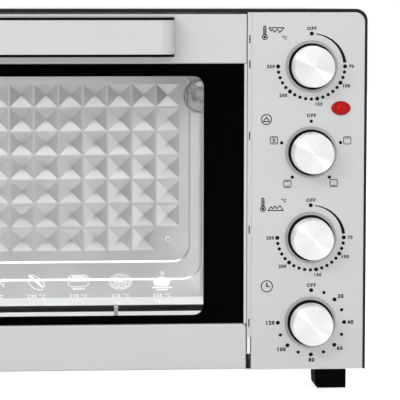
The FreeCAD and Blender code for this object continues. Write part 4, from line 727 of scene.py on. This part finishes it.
def lettering(ink, words, point, height, weight, spacing):
    """Numbers or letters centred on a point, cut as flat shapes."""
    curve = bpy.data.curves.new("lettering", "FONT")
    curve.body = words
    curve.offset = weight
    curve.space_character = spacing
    curve.align_x = "CENTER"
    curve.resolution_u = LETTER_STEPS
    text = bpy.data.objects.new("lettering", curve)
    bpy.context.scene.collection.objects.link(text)
    bpy.context.view_layer.update()
    mesh = bpy.data.meshes.new_from_object(text.evaluated_get(bpy.context.evaluated_depsgraph_get()))
    bpy.data.objects.remove(text)
    rises = [vert.co.y for vert in mesh.vertices]
    scale = height / (max(rises) - min(rises))
    centred = Matrix.Translation((0, -(max(rises) + min(rises)) / 2, 0))
    place = Matrix.Translation((point[0], 0, point[1]))
    mesh.transform(place @ STAND_UP @ Matrix.Scale(scale, 4) @ centred)
    ink.from_mesh(mesh)
    bpy.data.meshes.remove(mesh)


# %% [markdown]
# All marks of one dial end up in one piece. Their faces are turned to the front, extruded by the ink's
# thickness, and set a hair in front of the sheet, so that ink and steel never share a plane.

# %% Ink thickness
INK_THICKNESS = 0.06 * MM
INK_GAP = 0.01 * MM
MERGE_DISTANCE = 1e-7


def finish_mesh(shape, name, body, material):
    """Make a closed bmesh shape a piece of a body."""
    bmesh.ops.recalc_face_normals(shape, faces=shape.faces)
    mesh = bpy.data.meshes.new(name)
    shape.to_mesh(mesh)
    shape.free()
    mesh.materials.append(material)
    piece = bpy.data.objects.new(name, mesh)
    bpy.context.scene.collection.objects.link(piece)
    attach(piece, body)
    print(name, "faces:", len(mesh.polygons))


def finish_ink(ink, name, plane, body, material):
    """Give flat marks their thickness in front of a plane, and make them a piece of a body."""
    bmesh.ops.remove_doubles(ink, verts=ink.verts, dist=MERGE_DISTANCE)
    bmesh.ops.recalc_face_normals(ink, faces=ink.faces)
    for face in ink.faces:
        if face.normal.y > 0:
            face.normal_flip()
    flat = bmesh.ops.extrude_face_region(ink, geom=ink.faces[:])
    front = [item for item in flat["geom"] if isinstance(item, bmesh.types.BMVert)]
    bmesh.ops.translate(ink, verts=front, vec=(0, -INK_THICKNESS, 0))
    bmesh.ops.translate(ink, verts=ink.verts, vec=(0, plane - INK_GAP, 0))
    finish_mesh(ink, name, body, material)


# %% [markdown]
# Both temperature knobs have the same dial: a wedge that widens from OFF to the first number, then a dot
# for every ten degrees, with a larger dot where a number stands. The timer has a dot for every ten
# minutes, with a larger one at each number. Both are printed a little wider than tall.

# %% Temperature dials and timer
panel_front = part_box("control_panel")[0].y
DIAL_RADIUS = 31.1 * MM
DIAL_OFF_HEIGHT = 36.0 * MM
DIAL_STRETCH = (1.012, 1.0, 0.984)
SMALL_DOT = 1.6 * MM
LARGE_DOT = 1.95 * MM
LETTER_HEIGHT = 3.5 * MM
DIAL_SPACING = 1.2
TEMPERATURE_DIGITS = 3.35 * MM
TEMPERATURE_DOTS = range(90, 271, 10)
LARGE_DOTS = (90, 120, 170, 220, 270)
TIMER_DIGITS = 4.0 * MM
TIMER_SHIFT = 0.9 * MM
TIMER_DOTS = 12
TIMER_STEP = 22.5
WEDGE_START = 6.8
WEDGE_SWEEP = 76.7
WEDGE_WIDTHS = (0.8 * MM, 3.1 * MM)
BLACK_INK = moulding("black_ink", (0.004, 0.004, 0.005), 0.5, size=0.0004, specular=0.08)
WHITE_INK = moulding("white_ink", (0.95, 0.95, 0.95), 0.6, size=0.0004, specular=0.2)
# Each number: its angle clockwise from the top, and its reach in millimetres
TEMPERATURE_NUMBERS = {"70": (90, 37.0), "100": (119.7, 37.3), "150": (169.3, 36.4), "200": (223.7, 37.9),
                       "250": (270, 37.9)}
TIMER_NUMBERS = {"20": (47.6, 37.4), "40": (90, 37.0), "60": (132.8, 37.1), "80": (179, 36.3),
                 "100": (227.2, 38.0), "120": (270, 38.5)}


def knob_axis(name):
    """Where a knob's axis meets the fascia, as X and Z."""
    centre = middle(f"{name}_cap")
    return centre.x, centre.z


def off_mark(ink, centre, radius, dot_radius, height):
    """OFF above the dial's first dot."""
    dot(ink, dial_point(centre, radius, 0), dot_radius)
    place = (centre[0], centre[1] + height)
    lettering(ink, "OFF", place, LETTER_HEIGHT, weight=0.04, spacing=DIAL_SPACING)


def stretch(ink, centre):
    """Make a round dial a little wider than tall, as it is printed."""
    to_middle = Matrix.Translation((-centre[0], 0, -centre[1]))
    bmesh.ops.scale(ink, verts=ink.verts, vec=DIAL_STRETCH, space=to_middle)


def numbers(ink, centre, places, height, weight):
    """The numbers round a dial."""
    for words, (degrees, reach) in places.items():
        lettering(ink, words, dial_point(centre, reach * MM, degrees), height, weight, DIAL_SPACING)


def temperature_dial(knob):
    """Wedge, dots from 70 to 250, and their numbers."""
    ink = bmesh.new()
    centre = knob_axis(knob)
    off_mark(ink, centre, DIAL_RADIUS, LARGE_DOT, DIAL_OFF_HEIGHT)
    ring(ink, centre, DIAL_RADIUS, WEDGE_WIDTHS[0], WEDGE_START, WEDGE_SWEEP, WEDGE_WIDTHS[1])
    for degrees in TEMPERATURE_DOTS:
        radius = LARGE_DOT if degrees in LARGE_DOTS else SMALL_DOT
        dot(ink, dial_point(centre, DIAL_RADIUS, degrees), radius)
    numbers(ink, centre, TEMPERATURE_NUMBERS, TEMPERATURE_DIGITS, weight=0.045)
    stretch(ink, centre)
    return ink


def timer_dial(knob):
    """A dot for every ten minutes, and a number for every twenty."""
    ink = bmesh.new()
    x, z = knob_axis(knob)
    centre = (x + TIMER_SHIFT, z)
    off_mark(ink, centre, DIAL_RADIUS, LARGE_DOT, DIAL_OFF_HEIGHT)
    for step in range(1, TIMER_DOTS + 1):
        radius = SMALL_DOT if step % 2 else LARGE_DOT
        dot(ink, dial_point(centre, DIAL_RADIUS, step * TIMER_STEP), radius)
    numbers(ink, centre, TIMER_NUMBERS, TIMER_DIGITS, weight=0.05)
    stretch(ink, centre)
    return ink


# %% [markdown]
# The function knob has four small pictures of the heaters in use: a square oven with a bar at the top, at
# the bottom or at both, and a fan in the last. The square's corners are short rounds of three points.

# %% Function dial
FUNCTION_RADIUS = 29.2 * MM
FUNCTION_OFF_HEIGHT = 34.6 * MM
PICTURE_HALF = 3.4 * MM
PICTURE_CORNER = 1.0 * MM
PICTURE_LINE = 0.7 * MM
HEATER_REACH = PICTURE_HALF * 0.6
HEATER_HEIGHT = PICTURE_HALF * 0.62
BLADE_RADIUS = 1.2 * MM
# Each function: its angle, its picture's reach in millimetres, and whether the upper heater, the lower
# heater and the fan are on
FUNCTIONS = {72: (35.9, (True, False, False)), 143.5: (36.1, (False, True, False)),
             217: (36.9, (True, True, False)), 288: (36.9, (True, True, True))}


def rounded_square(point, half, corner):
    """The points of a square with rounded corners."""
    inner = half - corner
    points = []
    for quarter, (side_x, side_z) in enumerate(((1, 1), (1, -1), (-1, -1), (-1, 1))):
        hub = (point[0] + side_x * inner, point[1] + side_z * inner)
        points += [dial_point(hub, corner, quarter * 90 + turn) for turn in (0, 45, 90)]
    return points


def heater_picture(ink, point, high_bar, low_bar, fan):
    """A small square oven with the heaters that are on, and a fan."""
    x, z = point
    path(ink, rounded_square(point, PICTURE_HALF, PICTURE_CORNER), PICTURE_LINE, closed=True)
    for shown, level in ((high_bar, z + HEATER_HEIGHT), (low_bar, z - HEATER_HEIGHT)):
        if shown:
            bar(ink, (x - HEATER_REACH, level), (x + HEATER_REACH, level), PICTURE_LINE)
    if fan:
        for degrees in range(0, 180, 60):
            ends = [dial_point(point, BLADE_RADIUS, degrees + turn) for turn in (0, 180)]
            bar(ink, *ends, PICTURE_LINE)


def function_dial(knob):
    """OFF and four ways to heat, each with its picture."""
    ink = bmesh.new()
    centre = knob_axis(knob)
    off_mark(ink, centre, FUNCTION_RADIUS, SMALL_DOT, FUNCTION_OFF_HEIGHT)
    for degrees, (reach, shown) in FUNCTIONS.items():
        dot(ink, dial_point(centre, FUNCTION_RADIUS, degrees), SMALL_DOT)
        heater_picture(ink, dial_point(centre, reach * MM, degrees), *shown)
    return ink


DIALS = {
    "upper_temperature_dial": temperature_dial("upper_temperature_knob"),
    "function_dial": function_dial("function_knob"),
    "lower_temperature_dial": temperature_dial("lower_temperature_knob"),
    "timer_dial": timer_dial("timer_knob"),
}
for name, ink in DIALS.items():
    finish_ink(ink, name, panel_front, "cabinet", BLACK_INK)

# %% [markdown]
# Beside each dial stands a small sign for what the knob sets: a thermometer next to an upper or a lower
# heater, a covered dish for the functions, and a clock. They are drawn with the same strokes. Each sign is
# laid out in millimetres about its own middle, and a small pen function turns that into places on the
# sheet.

# %% Signs beside the dials
SIGN_LINE = 0.95 * MM
THIN_LINE = 0.9 * MM
UNIT = "\N{DEGREE SIGN}C"
UPPER_TEETH = [(0, 0), (14.1, 0), (10.0, -4.6), (7.8, -1.3), (5.5, -4.1), (3.3, -1.6), (2.1, -3.1)]
LOWER_TEETH = [(0, 0), (14.2, 0), (11.1, 4.6), (8.2, 1.7), (6.5, 4.1), (4.4, 1.7), (2.6, 3.6)]
# Places are millimetres across and up from a knob's axis. Each temperature knob has its own: how far
# across the thermometer stands, how high the heater and the unit stand, and the heater's outline.
THERMOMETERS = {
    "upper_temperature_knob": (-44.1, 36.1, 27.0, UPPER_TEETH),
    "lower_temperature_knob": (-45.2, 25.9, 35.3, LOWER_TEETH),
}
BULB_RISE = 27.4
HEATER_ACROSS = -40.2
UNIT_ACROSS = -25.6
COVERED_DISH_PLACE = (-42.2, 30.9)
CLOCK_PLACE = (-41.2, 34.7)


def pen(x, z):
    """Turns a sign's own millimetres, about its middle, into a place on the sheet."""
    return lambda across, rise: (x + across * MM, z + rise * MM)


def pen_beside(knob, across, rise):
    """A pen whose middle lies so many millimetres from a knob's axis."""
    x, z = knob_axis(knob)
    return pen(x + across * MM, z + rise * MM)


def thermometer(ink, at):
    """A hollow stem over a bulb, with the bulb at the pen's middle."""
    bulb_radius = 2.3 * MM
    filling_radius = 1.3 * MM
    thread_width = 0.5 * MM
    path(ink, [at(-1.0, 2.4), at(-1.0, 9.4), at(0, 10.4), at(1.0, 9.4), at(1.0, 2.4)], SIGN_LINE)
    bar(ink, at(0, 2.4), at(0, 8.4), thread_width)
    ring(ink, at(0, 0), bulb_radius, THIN_LINE)
    dot(ink, at(0, 0), filling_radius)


def clock(ink, at):
    """A clock face with two hands."""
    face_radius = 5.3 * MM
    hand_width = 1.3 * MM
    ring(ink, at(0, 0), face_radius, THIN_LINE)
    bar(ink, at(0, -0.7), at(0, 3.4), hand_width)
    bar(ink, at(0, -0.4), at(3.2, -0.4), THIN_LINE)


def covered_dish(ink, at):
    """A round frame with a dish under its cover."""
    frame_radius = 4.7 * MM
    cover_radius = 2.3 * MM
    knob_radius = 0.7 * MM
    ring(ink, at(0, 0), frame_radius, THIN_LINE)
    ring(ink, at(0, -1.3), cover_radius, THIN_LINE, start=-90.0, sweep=180.0)
    bar(ink, at(-3.4, -1.9), at(3.4, -1.9), SIGN_LINE)
    dot(ink, at(0, 2.0), knob_radius)


def make_signs():
    """All signs of the fascia, as one piece."""
    ink = bmesh.new()
    for knob, (bulb_across, heater_rise, unit_rise, teeth) in THERMOMETERS.items():
        thermometer(ink, pen_beside(knob, bulb_across, BULB_RISE))
        heater = pen_beside(knob, HEATER_ACROSS, heater_rise)
        path(ink, [heater(across, rise) for across, rise in teeth], THIN_LINE, closed=True)
        unit = pen_beside(knob, UNIT_ACROSS, unit_rise)
        lettering(ink, UNIT, unit(0, 0), LETTER_HEIGHT, weight=0.03, spacing=1.1)
    covered_dish(ink, pen_beside("function_knob", *COVERED_DISH_PLACE))
    clock(ink, pen_beside("timer_knob", *CLOCK_PLACE))
    finish_ink(ink, "fascia_signs", panel_front, "cabinet", BLACK_INK)


make_signs()

# %% [markdown]
# Along the foot of the window runs a row of small white pictures of dishes. Each is a few strokes and
# dots, laid out in millimetres about its own middle, like the signs. A picture is under two centimetres
# wide, so the strokes are few and at least as wide as those of the numbers below it.

# %% Pictures of dishes
FINE = 0.85 * MM
BOLD = 1.3 * MM
SPOT = 0.8 * MM


def oval(at, wide, high, turn=0, step=15):
    """Points round an oval about the pen's middle."""
    return [at(wide * math.sin(math.radians(d + turn)), high * math.cos(math.radians(d + turn)))
            for d in range(0, 360, step)]


def roast(ink, at):
    """A bird on a dish, steaming."""
    leg_width = 1.5 * MM
    leg_end = 1.2 * MM
    bar(ink, at(-9.4, -5.9), at(9.4, -5.9), BOLD)
    bar(ink, at(-5.6, -8.0), at(5.6, -8.0), BOLD)
    for across, rise, radius in ((-4.6, -0.8, 3.8), (-0.6, -0.2, 4.7), (3.4, -1.2, 3.6)):
        dot(ink, at(across, rise), radius * MM)
    bar(ink, at(5.0, -1.0), at(8.6, 1.6), leg_width)
    dot(ink, at(9.0, 2.0), leg_end)
    for across in (-1.2, 0.8):
        path(ink, [at(across, 6.0), at(across + 0.8, 7.6), at(across, 9.2)], FINE)


def pie(ink, at):
    """A round pie seen a little from above, cut into slices."""
    path(ink, oval(at, 10.6, 7.2), FINE, closed=True)
    path(ink, oval(at, 8.8, 5.6), FINE, closed=True)
    rim = oval(at, 8.8, 5.6, turn=10, step=45)
    for start, end in zip(rim[:4], rim[4:]):
        bar(ink, start, end, FINE)
    for point in oval(at, 5.6, 3.5, turn=32, step=45):
        dot(ink, point, SPOT, SMALL_SIDES)


def layer_cake(ink, at):
    """A layered cake on a plate."""
    path(ink, [at(-9.0, -2.6), at(-9.4, 4.2), at(-6.8, 6.4), at(6.8, 6.4), at(9.4, 4.2), at(9.0, -2.6),
               at(6.0, -4.6), at(-6.0, -4.6)], FINE, closed=True)
    bar(ink, at(-9.2, 3.6), at(9.2, 3.6), FINE)
    bar(ink, at(-6.0, 5.0), at(6.0, 5.0), BOLD)
    bar(ink, at(-6.0, -6.6), at(6.0, -6.6), BOLD)
    for across in range(-6, 7, 3):
        dot(ink, at(across, 0.4), SPOT, SMALL_SIDES)


def sausage(ink, at):
    """A sausage in a roll, lying aslant."""
    sausage_width = 2.4 * MM
    path(ink, [at(-6.2, 6.2), at(5.6, -4.2)], sausage_width)
    path(ink, [at(-7.6, 3.6), at(-6.4, -1.6), at(-2.6, -5.6), at(3.0, -7.4), at(6.4, -6.6)], FINE)
    path(ink, [at(-4.2, 7.0), at(1.8, 4.4), at(7.2, -0.6), at(7.6, -4.0)], FINE)


def fish(ink, at):
    """A fish, side on."""
    path(ink, [at(-8.6, 0), at(-3.0, 4.2), at(3.6, 2.4), at(9.0, -4.2), at(9.0, 4.2), at(3.6, -2.4),
               at(-3.0, -4.2)], FINE, closed=True)
    dot(ink, at(-5.0, 1.0), SPOT, SMALL_SIDES)
    bar(ink, at(-2.4, -2.6), at(-2.4, 2.6), FINE)


# %% [markdown]
# The pictures stand over their temperatures and minutes, printed on the pane in white. They are the same
# kind of flat, cut shapes as the dials, but one piece that rides with the door, and their heights are
# counted from the lower edge of the pane that carries them.

# %% Window print
glass_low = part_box("door_glass")[0]
door_centre = middle("door_glass").x
ROW_SHIFT = 2.7 * MM
DISH_PITCH = 39.3 * MM
DISH_LIFT = 40.9 * MM
TEMPERATURE_LIFT = 27.6 * MM
MINUTES_LIFT = 21.1 * MM
WINDOW_DIGITS = 3.8 * MM
# Each dish from the middle of the row outwards, with its temperature and minutes
DISHES = [(fish, "200", "20-30"), (sausage, "230", "10-15"), (layer_cake, "210", "15-25"),
          (pie, "210", "15-20"), (roast, "230", "45-60")]


def make_window_print():
    """The row of dishes, the same to both sides of its middle."""
    ink = bmesh.new()
    for side in (-1, 1):
        for place, (draw, temperature, minutes) in enumerate(DISHES):
            if side < 0 and place == 0:
                continue
            x = door_centre + ROW_SHIFT + side * place * DISH_PITCH
            draw(ink, pen(x, glass_low.z + DISH_LIFT))
            for words, lift in ((f"{temperature} {UNIT}", TEMPERATURE_LIFT), (minutes, MINUTES_LIFT)):
                lettering(ink, words, (x, glass_low.z + lift), WINDOW_DIGITS, weight=0.035, spacing=1.28)
    finish_ink(ink, "window_print", glass_low.y, "door", WHITE_INK)


make_window_print()

# %% [markdown]
# Beside the door's bottom corner a tongue of the hinge closes the notch in the fascia; it wears the
# hinge's finish, lightened by painted light. It is a strip folded once, so it is one row of faces, bent
# by extruding its edge back to the hinge, then given the sheet's thickness.

# %% Hinge tongue
TONGUE_LEFT = 0.45 * MM
TONGUE_WIDTH = 2.9 * MM
TONGUE_BEHIND = 2.4 * MM
TONGUE_SHEET = 0.6 * MM
TONGUE_GAP = 1.5 * MM
TONGUE_HEIGHT = 17.6 * MM


def make_tongue():
    """A strip folded back along its left edge, from the fascia's front to the hinge."""
    shape = bmesh.new()
    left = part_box("control_panel")[0].x + TONGUE_LEFT
    front = panel_front + TONGUE_BEHIND
    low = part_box("hinge_knuckles")[1].z + TONGUE_GAP
    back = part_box("hinge_brackets")[0].y
    size = Matrix.Diagonal((TONGUE_WIDTH, 1, TONGUE_HEIGHT, 1))
    place = Matrix.Translation((left + TONGUE_WIDTH / 2, front, low + TONGUE_HEIGHT / 2))
    bmesh.ops.create_grid(shape, x_segments=1, y_segments=1, size=0.5, matrix=place @ size @ STAND_UP)
    fold = [edge for edge in shape.edges if all(vert.co.x < left + TONGUE_SHEET for vert in edge.verts)]
    made = bmesh.ops.extrude_edge_only(shape, edges=fold)
    moved = [item for item in made["geom"] if isinstance(item, bmesh.types.BMVert)]
    bmesh.ops.translate(shape, verts=moved, vec=(0, back - front, 0))
    bmesh.ops.recalc_face_normals(shape, faces=shape.faces)
    inward = TONGUE_SHEET if shape.faces[0].normal.y < 0 else -TONGUE_SHEET
    bmesh.ops.solidify(shape, geom=shape.faces[:], thickness=inward)
    # The tongue wears the hinge's finish, lightened by painted light
    finish_mesh(shape, "hinge_tongue", "cabinet", OWN_FINISHES["hinge_brackets"])


make_tongue()

# %% [markdown]
# The screws of the back wall get painted shade for the recess that a driver turns in. Behind the window
# it is a speck, so a thin black disc with six sides, set on each head, stands in for the shade in it.

# %% Painted shade in the screw recesses
SHADE_DISC_SIDES = 6
SHADE_DISC_RADIUS = 1.0 * MM
SHADE_DISC_DEPTH = 0.05 * MM


def make_recess_shade():
    """Painted shade: a dark six-sided disc on the head of each screw of the back wall, for its recess."""
    shape = bmesh.new()
    low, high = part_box("cavity_screws")
    head = (high.z - low.z) / 2
    for x in (low.x + head, high.x - head):
        place = Matrix.Translation((x, low.y - SHADE_DISC_DEPTH / 2, low.z + head))
        bmesh.ops.create_cone(shape, cap_ends=True, segments=SHADE_DISC_SIDES, radius1=SHADE_DISC_RADIUS,
                              radius2=SHADE_DISC_RADIUS, depth=SHADE_DISC_DEPTH, matrix=place @ STAND_UP)
    finish_mesh(shape, "screw_recess_shade", "cabinet", BLACK_INK)


make_recess_shade()
